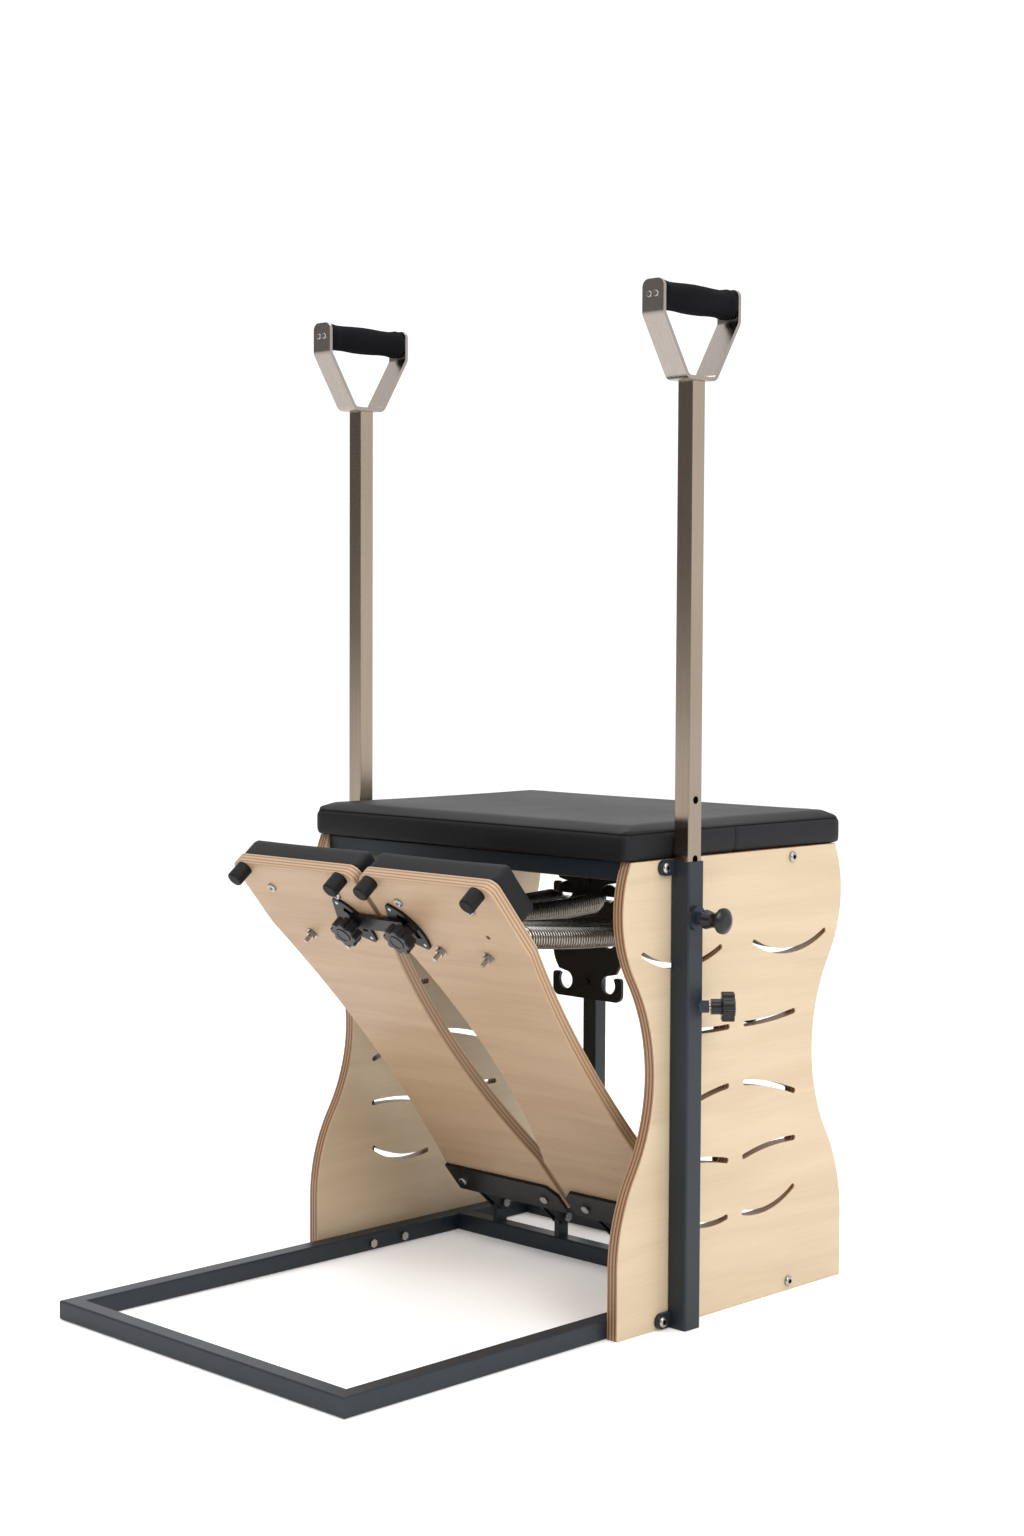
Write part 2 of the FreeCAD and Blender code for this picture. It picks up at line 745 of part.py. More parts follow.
def handle_bracket():
    """The V bracket: a flat strip bent up from the pole's top to two ears."""
    half_span = bracket_span / 2
    half_flat = bracket_flat / 2
    t = bracket_thickness
    slope = Vector(0, half_span - half_flat, bracket_bend_height).normalize()
    foot_shift = t * (1 - slope.y) / slope.z
    bend_shift = t * (1 - slope.z) / slope.y
    profile = [(half_flat, 0), (half_span, bracket_bend_height), (half_span, bracket_height),
               (half_span - t, bracket_height), (half_span - t, bracket_bend_height + bend_shift),
               (half_flat - foot_shift, t)]
    points = [(y, z) for y, z in profile] + [(-y, z) for y, z in reversed(profile)]
    x0 = socket_x - bracket_width / 2
    corners = [Vector(x0, socket_y + y, pole_top + z) for y, z in points]
    strip = Part.Face(Part.makePolygon(corners + corners[:1])).extrude(Vector(bracket_width, 0, 0))

    def bend_at(heights):
        def bend(edge):
            box = edge.BoundBox
            level = any(abs(box.ZMin - pole_top - height) < gap_clearance for height in heights)
            return box.XLength > bracket_width - gap_clearance and level
        return bend

    def ear_corner(edge):
        box = edge.BoundBox
        along_y = box.YLength > t - gap_clearance and box.XLength < gap_clearance
        return along_y and box.ZMin > pole_top + bracket_height - gap_clearance

    strip = soften(strip, bracket_bend_radius, bend_at((0, bracket_bend_height)))
    strip = soften(strip, bracket_bend_radius - t, bend_at((t, bracket_bend_height + bend_shift)))
    strip = soften(strip, bracket_corner, ear_corner)
    for seat, _ in grip_screw_seats():
        reach = Vector(0, bracket_thickness + cut_overrun, 0)
        strip = strip.cut(rod(seat - reach, seat + reach, grip_screw_radius + bolt_clearance))
    return strip


def grip_screw_seats():
    """Where the grip's end screws sit on the ears, and which way they point."""
    seats = []
    z = pole_top + grip_height
    for sign in (-1, 1):
        for step in (-1, 1):
            x = socket_x + step * grip_screw_spacing / 2
            seats.append((Vector(x, socket_y + sign * bracket_span / 2, z), Vector(0, -sign, 0)))
    return seats


def grip_core():
    """The grip's steel core and the screws that hold it between the ears."""
    z = pole_top + grip_height
    half = bracket_span / 2 - bracket_thickness
    middle = Vector(socket_x, socket_y, z)
    reach = Vector(0, half, 0)
    core = rod(middle - reach, middle + reach, grip_core_radius)
    screws = []
    for seat, way in grip_screw_seats():
        depth = bracket_thickness + grip_screw_depth
        core = core.cut(rod(seat, seat + way * (depth + cut_overrun), grip_screw_radius))
        screws.append(button_bolt(seat, way, grip_screw_radius, grip_screw_head_radius,
                                  grip_screw_head_height, depth))
    return [core] + screws


def grip_foam():
    """The foam sleeve: full in the middle, drawn in near the ends, with flared rims."""
    half = bracket_span / 2 - bracket_thickness - gap_clearance
    inner = grip_core_radius + gap_clearance / 2
    neck = half - grip_end_length
    corners = [Vector(inner, -half, 0), Vector(grip_end_radius, -half, 0)]
    swell = Part.Arc(Vector(grip_waist_radius, -neck, 0), Vector(grip_radius, 0, 0),
                     Vector(grip_waist_radius, neck, 0)).toShape()
    edges = [
        line_edge(corners[0], corners[1]),
        line_edge(corners[1], Vector(grip_waist_radius, -neck, 0)),
        swell,
        line_edge(Vector(grip_waist_radius, neck, 0), Vector(grip_end_radius, half, 0)),
        line_edge(Vector(grip_end_radius, half, 0), Vector(inner, half, 0)),
        line_edge(Vector(inner, half, 0), corners[0]),
    ]
    sleeve = Part.Face(Part.Wire(edges)).revolve(Vector(0, 0, 0), Vector(0, 1, 0), 360)
    sleeve.translate(Vector(socket_x, socket_y, pole_top + grip_height))
    return sleeve


def pin_housing():
    """The flanged sleeve that guides the pull pin."""
    axis = Vector(1, 0, 0)
    face = Vector(socket_face_x, socket_y, index_height)
    flange = Part.makeCylinder(pin_flange_radius, pin_flange_thickness, face, axis)
    sleeve = Part.makeCylinder(pin_sleeve_radius, pin_flange_thickness + pin_sleeve_length, face, axis)
    bore_end = face + axis * (2 * pin_sleeve_length)
    bore = rod(face - axis * cut_overrun, bore_end, pin_radius + running_clearance)
    return flange.fuse(sleeve).cut(bore)


def pull_pin():
    """The pull pin and its mushroom knob, drawn out of the pole."""
    axis = Vector(1, 0, 0)
    start = Vector(socket_face_x + pin_flange_thickness + pin_knob_start, socket_y, index_height)
    length = pin_knob_length
    rim = length - pin_knob_rim
    neck_end = rim * pin_knob_neck_share
    flare_radius = pin_knob_waist_radius + (pin_knob_radius - pin_knob_waist_radius) / 4
    profile = [
        line_edge(Vector(0, 0, 0), Vector(0, pin_knob_neck_radius, 0)),
        line_edge(Vector(0, pin_knob_neck_radius, 0), Vector(neck_end, pin_knob_waist_radius, 0)),
        Part.Arc(Vector(neck_end, pin_knob_waist_radius, 0),
                 Vector((neck_end + rim) / 2, flare_radius, 0),
                 Vector(rim, pin_knob_radius, 0)).toShape(),
        line_edge(Vector(rim, pin_knob_radius, 0), Vector(length - pin_knob_dome, pin_knob_radius, 0)),
        Part.Arc(Vector(length - pin_knob_dome, pin_knob_radius, 0),
                 Vector(length - pin_knob_dome / 4, pin_knob_crown_radius + pin_knob_radius / 4, 0),
                 Vector(length, pin_knob_crown_radius, 0)).toShape(),
        line_edge(Vector(length, pin_knob_crown_radius, 0), Vector(length, 0, 0)),
        line_edge(Vector(length, 0, 0), Vector(0, 0, 0)),
    ]
    knob = Part.Face(Part.Wire(profile)).revolve(Vector(0, 0, 0), axis, 360)
    knob.translate(start)
    pocket_end = start + axis * pin_knob_pocket
    knob = knob.cut(rod(start - axis * cut_overrun, pocket_end, pin_sleeve_radius + gap_clearance))
    tip = Vector(socket_x + pole_size / 2 + pin_tip_clearance, socket_y, index_height)
    return knob.fuse(rod(tip, pocket_end + axis * cut_overrun, pin_radius)).removeSplitter()


def star_knob(start, way, hub_radius, hub_length, head_radius, head_length, scallops):
    """A scalloped knob head on a round hub, along way from start."""
    way = Vector(way).normalize()
    hub = rod(start, start + way * hub_length, hub_radius)
    head_start = start + way * hub_length
    head = rod(head_start, head_start + way * head_length, head_radius)
    turn = FreeCAD.Rotation(Vector(0, 0, 1), way)
    for step in range(scallops):
        angle = 2 * math.pi * step / scallops
        reach = head_radius + scallop_reach
        centre = head_start + turn.multVec(Vector(reach * math.cos(angle), reach * math.sin(angle), 0))
        over = centre + way * (head_length + cut_overrun)
        head = head.cut(rod(centre - way * cut_overrun, over, scallop_radius))

    def height(edge, parameter):
        return (edge.valueAt(parameter) - head_start).dot(way)

    def lobe_edge(edge):
        return abs(height(edge, edge.LastParameter) - height(edge, edge.FirstParameter)) > head_length / 2

    def end_rim(edge):
        return not lobe_edge(edge)

    head = soften(head, knob_lobe_round, lobe_edge)
    head = soften(head, knob_edge_round, end_rim)
    return hub.fuse(head).removeSplitter()


def clamp_screw():
    """The clamp's screw, from just short of the pole's corner to inside the knob."""
    head_reach = clamp_nut_reach + clamp_screw_gap + clamp_hub_length
    tip, head = clamp_line(pole_corner_reach + gap_clearance, head_reach)
    return rod(tip, head, clamp_screw_radius)


def clamp_knob():
    """The clamp's star knob, moulded round the screw's head."""
    start, = clamp_line(clamp_nut_reach + clamp_screw_gap)
    knob = star_knob(start, clamp_way(), clamp_hub_radius, clamp_hub_length, clamp_head_radius,
                     clamp_head_length, clamp_scallops)
    return knob.cut(clamp_screw())


def tree_post():
    """The right spring post, between the rear bars."""
    foot = Vector(tree_x, rear_bar_y, tube_size)
    top = Vector(tree_x, rear_bar_y, panel_height - tube_size)
    return square_tube(foot, top, tube_size, tube_wall, tube_corner)


def plate_screw_heights():
    """Heights of the screws that hold the hook plate to its post."""
    margin = hook_plate_corner + tube_size / 2
    return (hook_plate_bottom + margin, hook_plate_top - margin)


def hook_plate():
    """The right hook plate: three open hooks on each side."""
    y0 = hook_plate_y
    y1 = hook_plate_y + hook_plate_thickness
    x0 = tree_x - hook_plate_half_width
    x1 = tree_x + hook_plate_half_width
    plate = block(x0, x1, y0, y1, hook_plate_bottom, hook_plate_top)

    def through_corner(edge):
        return edge.BoundBox.YLength > hook_plate_thickness - gap_clearance

    plate = soften(plate, hook_plate_corner, through_corner)
    ya = y0 - cut_overrun
    for level in range(hook_levels):
        seat = hook_seat_height + level * hook_spacing
        for sign in (-1, 1):
            pocket = Vector(tree_x + sign * hook_reach, ya, seat + hook_pocket_radius)
            depth = Vector(0, hook_plate_thickness + 2 * cut_overrun, 0)
            plate = plate.cut(rod(pocket, pocket + depth, hook_pocket_radius))
            outer = hook_plate_half_width + cut_overrun
            outline = [(hook_reach, seat + 2 * hook_pocket_radius), (hook_mouth_x, seat + hook_mouth_low),
                       (hook_plate_half_width, seat + hook_mouth_high), (outer, seat + hook_mouth_high),
                       (outer, seat + hook_tip_height), (hook_mouth_x, seat + hook_tip_height),
                       (hook_reach, seat + hook_pocket_radius)]
            corners = [Vector(tree_x + sign * x, ya, z) for x, z in outline]
            plate = plate.cut(Part.Face(Part.makePolygon(corners + corners[:1])).extrude(depth))
    seats = [hook_seat_height + level * hook_spacing for level in range(hook_levels)]
    tips = [(x, seat + hook_tip_height) for x in (hook_mouth_x, hook_plate_half_width) for seat in seats]
    lobes = [(hook_plate_half_width, seat + hook_mouth_high) for seat in seats[:-1]]

    def corner_at(places):
        def corner(edge):
            middle = edge.BoundBox.Center
            x = abs(middle.x - tree_x)
            near = any(math.hypot(x - px, middle.z - pz) < gap_clearance for px, pz in places)
            return near and through_corner(edge)
        return corner

    plate = soften(plate, hook_tip_round, corner_at(tips))
    plate = soften(plate, hook_lobe_round, corner_at(lobes))
    for z in plate_screw_heights():
        hole = Vector(tree_x, ya, z)
        plate = plate.cut(rod(hole, hole + Vector(0, hook_plate_thickness + 2 * cut_overrun, 0),
                              plate_screw_radius + bolt_clearance))
    return plate


def hook_plate_screws():
    """Two screws through the hook plate into its post."""
    way = Vector(0, 1, 0)
    seats = [Vector(tree_x, hook_plate_y, z) for z in plate_screw_heights()]
    return [button_bolt(seat, way, plate_screw_radius, plate_screw_head_radius, plate_screw_head_height,
                        hook_plate_thickness) for seat in seats]


def raise_pedal(shape):
    """Turns a pedal piece, drawn flat about the pivot with the board towards -Y, to its raised place."""
    lifted = shape.copy()
    lifted.rotate(Vector(0, 0, 0), Vector(1, 0, 0), -pedal_tilt)
    lifted.translate(Vector(0, pivot_y, pivot_height))
    return lifted


def pedal_board():
    """The right pedal's plywood board, waisted on both sides."""
    z = -pedal_drop

    def at(x, reach):
        return Vector(x, -reach, z)

    edges = [
        line_edge(at(pedal_inner_x, pedal_high_end), at(pedal_outer_x, pedal_high_end)),
        line_edge(at(pedal_outer_x, pedal_high_end), at(pedal_outer_x, pedal_shoulder_reach)),
        Part.Arc(at(pedal_outer_x, pedal_shoulder_reach), at(pedal_outer_waist_x, pedal_outer_waist_reach),
                 at(pedal_low_outer_x, pedal_low_reach)).toShape(),
        line_edge(at(pedal_low_outer_x, pedal_low_reach), at(pedal_low_outer_x, pedal_low_end)),
        line_edge(at(pedal_low_outer_x, pedal_low_end), at(pedal_inner_x, pedal_low_end)),
        line_edge(at(pedal_inner_x, pedal_low_end), at(pedal_inner_x, pedal_gap_low_reach)),
        Part.Arc(at(pedal_inner_x, pedal_gap_low_reach),
                 at(pedal_inner_waist_x, (pedal_gap_low_reach + pedal_gap_high_reach) / 2),
                 at(pedal_inner_x, pedal_gap_high_reach)).toShape(),
        line_edge(at(pedal_inner_x, pedal_gap_high_reach), at(pedal_inner_x, pedal_high_end)),
    ]
    board = Part.Face(Part.Wire(Part.__sortEdges__(edges))).extrude(Vector(0, 0, pedal_thickness))

    def top_corner(edge):
        box = edge.BoundBox
        return box.ZLength > pedal_thickness / 2 and box.YMin < -pedal_high_end + gap_clearance

    def face_rim(edge):
        return edge.BoundBox.ZLength < gap_clearance

    board = soften(board, pedal_corner, top_corner)
    board = soften(board, plywood_edge_round, face_rim)
    for x, reach, radius in pedal_holes():
        low = Vector(x, -reach, z - cut_overrun)
        board = board.cut(rod(low, Vector(x, -reach, pedal_top_z + cut_overrun), radius))
    return board


def eye_places():
    """X of the right pedal's two eye bolts, in line with the hooks of its plate."""
    return (tree_x - hook_reach, tree_x + hook_reach)


def pedal_holes():
    """Holes through the right board: X, reach and radius."""
    return [(x, eye_reach, eye_wire_radius + bolt_clearance) for x in eye_places()]


def spare_hole():
    """The spare hole that only the right board has."""
    low = Vector(spare_hole_x, -spare_hole_reach, -pedal_drop - cut_overrun)
    return rod(low, low + Vector(0, 0, pedal_thickness + 2 * cut_overrun), spare_hole_radius)


def pedal_pad():
    """The right pedal's foot pad, crowned with bevelled edges."""
    x0 = pedal_inner_x + pad_edge
    x1 = pedal_outer_x - pad_edge
    y0 = -pedal_high_end + pad_edge
    y1 = -pad_low_reach
    rings = []
    for up_share, inset_share in pad_shares:
        z = pedal_top_z + up_share * pad_thickness
        inset = inset_share * pad_bevel
        rings.append(cushion_ring(x0, x1, y0, y1, z, inset, pad_corner_radius, pad_draw_in))
    return Part.makeLoft(rings, True, True)


def pedal_bumpers():
    """Two rubber bumpers under the front end of the right board."""
    pieces = []
    for x in (bumper_inner_x, bumper_outer_x):
        top = Vector(x, -bumper_reach, -pedal_drop)
        bumper = rod(top, top - Vector(0, 0, bumper_length), bumper_radius)
        low = top.z - bumper_length
        pieces.append(soften(bumper, bumper_round, lambda edge: edge.BoundBox.ZMax < low + gap_clearance))
    return pieces


def ear_places():
    """X range of each ear on the right hinge plate: one on each side of each lug."""
    ranges = []
    for lug in (lug_inner_x, lug_outer_x):
        near = lug_thickness / 2 + ear_side_gap
        ranges.append((lug - near - ear_thickness, lug - near))
        ranges.append((lug + near, lug + near + ear_thickness))
    return ranges


def hinge_plate():
    """The right hinge plate: a bent angle under the board's low end, with ears down to the pivot."""
    low_z = -pedal_drop - hinge_thickness
    outline = [
        (hinge_inner_x, hinge_low_reach),
        (hinge_outer_x, hinge_low_reach),
        (hinge_outer_x, hinge_high_reach),
        (hinge_inner_x + hinge_chamfer, hinge_high_reach),
        (hinge_inner_x, hinge_high_reach - hinge_chamfer),
    ]
    corners = [Vector(x, -reach, low_z) for x, reach in outline]
    plate = Part.Face(Part.makePolygon(corners + corners[:1])).extrude(Vector(0, 0, hinge_thickness))
    flange_y = -pedal_low_end + gap_clearance
    plate = plate.fuse(block(hinge_inner_x, hinge_outer_x, -hinge_low_reach, flange_y, low_z, pedal_top_z))
    web_reach = hinge_low_reach + gap_clearance
    for x0, x1 in ear_places():
        shape = [(web_reach, low_z), (web_reach, pedal_top_z), (0, ear_radius), (0, -ear_radius)]
        points = [Vector(x0, -reach, z) for reach, z in shape]
        web = Part.Face(Part.makePolygon(points + points[:1])).extrude(Vector(x1 - x0, 0, 0))
        plate = plate.fuse(web).fuse(rod(Vector(x0, 0, 0), Vector(x1, 0, 0), ear_radius))
    plate = plate.removeSplitter()
    for x0, x1 in ear_places():
        plate = plate.cut(rod(Vector(x0 - cut_overrun / 4, 0, 0), Vector(x1 + cut_overrun / 4, 0, 0),
                              bolt_radius + running_clearance))
    return plate


def pedal_bolts():
    """Round-headed bolts under the right board: two for the pad and two for the hinge plate."""
    up = Vector(0, 0, 1)
    bolts = []
    for x in (pad_bolt_inner_x, pad_bolt_outer_x):
        seat = Vector(x, -pad_bolt_reach, -pedal_drop)
        bolts.append(button_bolt(seat, up, pad_bolt_radius, pad_bolt_head_radius,
                                 pad_bolt_head_height, pad_bolt_depth))
    for x in (hinge_bolt_inner_x, hinge_bolt_outer_x):
        seat = Vector(x, -hinge_bolt_reach, -pedal_drop - hinge_thickness)
        bolts.append(button_bolt(seat, up, bolt_radius, bolt_head_radius, bolt_head_height,
                                 hinge_thickness + pad_bolt_depth))
    return bolts


def drill(shape, bolts):
    """Cuts the bolts' own shape out of what they pass through."""
    for bolt in bolts:
        shape = shape.cut(bolt)
    return shape


def eye_bolts():
    """The right pedal's two eye bolts, each with its washer and nut as one piece."""
    pieces = []
    for x in eye_places():
        ring_centre = Vector(x, -eye_reach, pedal_top_z + eye_ring_lift)
        ring = Part.makeTorus(eye_ring_radius, eye_wire_radius, ring_centre, Vector(0, 1, 0))
        face = Vector(x, -eye_reach, -pedal_drop)
        down = Vector(0, 0, -1)
        washer_end = face + down * eye_washer_height
        nut_end = washer_end + down * eye_nut_height
        ring_foot = Vector(x, -eye_reach, ring_centre.z - eye_ring_radius)
        shank = rod(nut_end + down * eye_end_length, ring_foot, eye_wire_radius)
        washer = rod(face, washer_end, eye_washer_radius)
        nut = hexagon(washer_end, nut_end, eye_nut_radius)
        pieces.append(ring.fuse(shank).fuse(washer).fuse(nut).removeSplitter())
    return pieces


def lock_corner(x):
    """The quarter disc's sharp corner on a pedal, on the board's underside."""
    return Vector(x, -lock_plate_reach, -pedal_drop)


def lock_way(degrees):
    """A direction on the board, turned from the chair's right towards the raised end."""
    angle = math.radians(degrees)
    return Vector(math.cos(angle), -math.sin(angle), 0)


def lock_stud_place(x):
    """Where a lock stud stands: the middle of its plate's arc slot."""
    return lock_corner(x) + lock_way(45 + lock_plate_turn) * lock_slot_radius


def lock_plate(x):
    """A quarter-disc plate with an arc slot that a lock stud stands in."""
    corner = lock_corner(x)
    first = lock_way(lock_plate_turn)
    last = lock_way(lock_plate_turn + 90)
    down = Vector(0, 0, -lock_plate_thickness)
    a = corner + first * lock_plate_radius
    b = corner + last * lock_plate_radius
    wire = Part.Wire([line_edge(corner, a), arc_edge(corner, a, b), line_edge(b, corner)])
    plate = Part.Face(wire).extrude(down)

    def upright(edge):
        return edge.BoundBox.ZLength > lock_plate_thickness / 2

    plate = soften(plate, lock_corner_round, upright)
    half = lock_slot_width / 2
    middle_angle = 45 + lock_plate_turn
    ends = [lock_way(middle_angle - lock_slot_spread), lock_way(middle_angle + lock_slot_spread)]
    lift = Vector(0, 0, cut_overrun)
    outer = [corner + lift + end * (lock_slot_radius + half) for end in ends]
    inner = [corner + lift + end * (lock_slot_radius - half) for end in ends]
    slot_wire = Part.Wire([arc_edge(corner + lift, outer[0], outer[1]), line_edge(outer[1], inner[1]),
                           arc_edge(corner + lift, inner[1], inner[0]), line_edge(inner[0], outer[0])])
    return plate.cut(Part.Face(slot_wire).extrude(down - lift * 2))


def lock_screws(x):
    """Three flush screws at the plate's corners."""
    corner = lock_corner(x)
    inset = lock_plate_radius - lock_screw_inset
    spread = math.degrees(math.atan2(lock_screw_inset, inset))
    places = [corner + lock_way(45 + lock_plate_turn) * (lock_screw_inset * math.sqrt(2)),
              corner + lock_way(lock_plate_turn + spread) * inset,
              corner + lock_way(lock_plate_turn + 90 - spread) * inset]
    down = Vector(0, 0, -lock_plate_thickness)
    up = Vector(0, 0, pad_bolt_depth)
    return [rod(place + down, place + up, lock_screw_radius) for place in places]


def lock_stud(x):
    """The threaded stud that carries a lock knob."""
    place = lock_stud_place(x)
    low = Vector(place.x, place.y, lock_knob_z - lock_hub_length - lock_stud_end)
    high = Vector(place.x, place.y, -pedal_drop + lock_stud_depth)
    return rod(low, high, lock_stud_radius)


def lock_knob(x):
    """A star knob on a lock stud."""
    place = lock_stud_place(x)
    start = Vector(place.x, place.y, lock_knob_z)
    down = Vector(0, 0, -1)
    knob = star_knob(start, down, lock_hub_radius, lock_hub_length, lock_head_radius, lock_head_length,
                     lock_scallops)
    bore_end = start + down * (lock_hub_length + lock_stud_end + gap_clearance)
    return knob.cut(rod(start - down * cut_overrun, bore_end, lock_stud_radius + running_clearance))


def lock_bar():
    """The flat bar that joins the pedals: a bore on the left stud and an open slot for the right one."""
    left = lock_stud_place(lock_left_x)
    right = lock_stud_place(lock_right_x)
    z0 = lock_bar_top_z - lock_bar_thickness
    z1 = lock_bar_top_z
    half = lock_bar_width / 2
    bar = block(left.x, right.x, left.y - half, left.y + half, z0, z1)
    for end in (left, right):
        bar = bar.fuse(rod(Vector(end.x, end.y, z0), Vector(end.x, end.y, z1), half))
    bar = bar.removeSplitter()
    bar = bar.cut(rod(Vector(left.x, left.y, z0 - cut_overrun), Vector(left.x, left.y, z1 + cut_overrun),
                      lock_stud_radius + running_clearance))
    slot_half = lock_stud_radius + lock_bar_slot_clearance
    mouth = block(right.x - slot_half, right.x + slot_half, right.y - lock_bar_width, right.y,
                  z0 - cut_overrun, z1 + cut_overrun)
    seat_low = Vector(right.x, right.y, z0 - cut_overrun)
    seat = rod(seat_low, Vector(right.x, right.y, z1 + cut_overrun), slot_half)
    return bar.cut(mouth).cut(seat)


def raised(point):
    """A point of the flat pedal, at the pedal's raised place."""
    angle = math.radians(-pedal_tilt)
    y = point.y * math.cos(angle) - point.z * math.sin(angle)
    z = point.y * math.sin(angle) + point.z * math.cos(angle)
    return Vector(point.x, pivot_y + y, pivot_height + z)


def spring_line(x):
    """The spring's axis at rest: the rear turning point, the eye's far wire, and the way to the front."""
    rear = Vector(x, hook_plate_y, hook_wire_z)
    eye = raised(Vector(x, -eye_reach, eye_segment_z))
    line = eye - rear
    lean = math.asin(eye_hook_radius / line.Length)
    angle = math.atan2(line.z, line.y) + lean
    way = Vector(0, math.cos(angle), math.sin(angle))
    return rear, eye, way


def wire_sweep(edges, radius):
    """A round wire along a smooth path of lines and arcs."""
    path = Part.Wire(edges)
    start = path.OrderedVertexes[0].Point
    first = path.OrderedEdges[0]
    way = first.tangentAt(first.FirstParameter)
    if (first.valueAt(first.FirstParameter) - start).Length > radius / 100:
        way = first.tangentAt(first.LastParameter) * -1
    circle = Part.Wire([Part.makeCircle(radius, start, way)])
    return path.makePipeShell([circle], True, False)


def bead(point, way):
    """The head that holds a swivel hook inside the spring's cone."""
    return Part.makeCylinder(hook_bead_radius, hook_bead_length, point, way)


def rear_hook(x):
    """A rear swivel hook: through the hook plate's pocket and down behind it."""
    rear, _, way = spring_line(x)
    cone_tip = rear + way * spring_rear_hook
    head_end = cone_tip + way * hook_inner_length
    plate_back = hook_plate_y + hook_plate_thickness
    turn_start = rear - way * (plate_back - hook_plate_y)
    up = Vector(0, way.z, -way.y)
    centre = turn_start - up * hook_bend_radius
    turn_end = centre - way * hook_bend_radius
    tail_end = turn_end - up * hook_tail
    edges = [line_edge(head_end, turn_start), arc_edge(centre, turn_start, turn_end),
             line_edge(turn_end, tail_end)]
    return wire_sweep(edges, hook_wire_radius).fuse(bead(head_end, way)).removeSplitter()


def front_hook(x):
    """A front swivel hook: under the eye's far wire, up through the ring and back over it."""
    _, eye, way = spring_line(x)
    up = Vector(0, way.z, -way.y)
    under = eye - up * eye_hook_radius
    over = eye + up * eye_hook_radius
    head_end = under - way * (spring_front_hook + hook_inner_length)
    middle = eye + way * eye_hook_radius
    edges = [line_edge(head_end, under), Part.Arc(under, middle, over).toShape(),
             line_edge(over, over - way * hook_bend_radius)]
    return wire_sweep(edges, hook_wire_radius).fuse(bead(head_end, way * -1)).removeSplitter()


def coil_point(turns, origin, way, length):
    """A point of the coil's centre line after so many turns, with both ends coned in."""
    total = spring_turns
    from_end = min(turns, total - turns)
    share = min(from_end / spring_cone_turns, 1.0)
    smooth = share * share * (3 - 2 * share)
    radius = spring_end_radius + (spring_radius - spring_end_radius) * smooth
    angle = 2 * math.pi * turns
    side = Vector(1, 0, 0)
    spoke = side * math.cos(angle) + way.cross(side) * math.sin(angle)
    return origin + way * (length * turns / total) + spoke * radius


def coil_way(turns, origin, way, length):
    """The coil's direction there."""
    step = 0.0005
    before = coil_point(max(turns - step, 0), origin, way, length)
    after = coil_point(min(turns + step, spring_turns), origin, way, length)
    return (after - before).normalize()


def half_arc(start, control, end):
    """The arc from start to end that is tangent to both legs of an even triangle."""
    chord = end - start
    middle = (start + end) * 0.5
    rise = control - middle
    if rise.Length < chord.Length * 1e-6:
        return line_edge(start, end)
    half_turn = math.atan2(rise.Length, chord.Length / 2)
    radius = chord.Length / 2 / math.sin(half_turn)
    crest = middle + Vector(rise).normalize() * (radius * (1 - math.cos(half_turn)))
    return Part.Arc(start, crest, end).toShape()


def biarc(start, start_way, end, end_way):
    """Two arcs that leave start and reach end along the given ways."""
    span = end - start
    both = start_way + end_way
    a = 2 - 2 * start_way.dot(end_way)
    b = 2 * span.dot(both)
    c = -span.dot(span)
    leg = -c / b if abs(a) < 1e-9 else (-b + math.sqrt(b * b - 4 * a * c)) / (2 * a)
    first = start + start_way * leg
    last = end - end_way * leg
    meet = (first + last) * 0.5
    return [half_arc(start, first, meet), half_arc(meet, last, end)]


def coil_ends(x):
    """Where the coil starts behind the pedal's hook plate and how long it is."""
    rear, eye, way = spring_line(x)
    up = Vector(0, way.z, -way.y)
    front = eye - up * eye_hook_radius - way * spring_front_hook
    start = rear + way * spring_rear_hook
    return start, way, (front - start).dot(way)


def spring_coil(x):
    """One spring: an unbroken wire, close to the swivel hooks at its coned ends."""
    origin, way, length = coil_ends(x)
    steps = [quarter / 4 for quarter in range(4 * spring_turns + 1)]
    edges = []
    for before, after in zip(steps, steps[1:]):
        edges += biarc(coil_point(before, origin, way, length), coil_way(before, origin, way, length),
                       coil_point(after, origin, way, length), coil_way(after, origin, way, length))
    return wire_sweep(edges, spring_wire_radius), sum(edge.Length for edge in edges)


def coil_gap(x):
    """The least gap between neighbouring turns of a coil, measured on points."""
    origin, way, length = coil_ends(x)
    count = gap_samples_per_turn
    points = [coil_point(step / count, origin, way, length) for step in range(count * spring_turns + 1)]
    least = length
    for index, point in enumerate(points):
        for other in points[index + count // 2:index + 2 * count]:
            least = min(least, (other - point).Length - 2 * spring_wire_radius)
    return least


def make_base():
    """Floor frame, crossbar and rear bar."""
    save("front_bar", front_bar())
    for name, side in sides.items():
        save(name + "_rail", on_side(side, base_rail()))
    save("pivot_crossbar", pivot_crossbar())
    save("rear_bar", cross_tube(rear_bar_y, base_tube_z, rail_inner_x))
    save("pivot_bolts", *pivot_bolts())


def make_body():
    """Panels, the frame under the seat, and the seat."""
    for name, side in sides.items():
        save(name + "_panel", on_side(side, side_panel()))
        save(name + "_upper_rail", on_side(side, upper_rail()))
    save("upper_front_bar", cross_tube(upper_front_y, upper_tube_z, panel_inner_x))
    save("upper_rear_bar", cross_tube(rear_bar_y, upper_tube_z, panel_inner_x))
    save("panel_bolts", *panel_bolts())
    save("seat_board", seat_board())
    save("seat_cushion", seat_cushion())


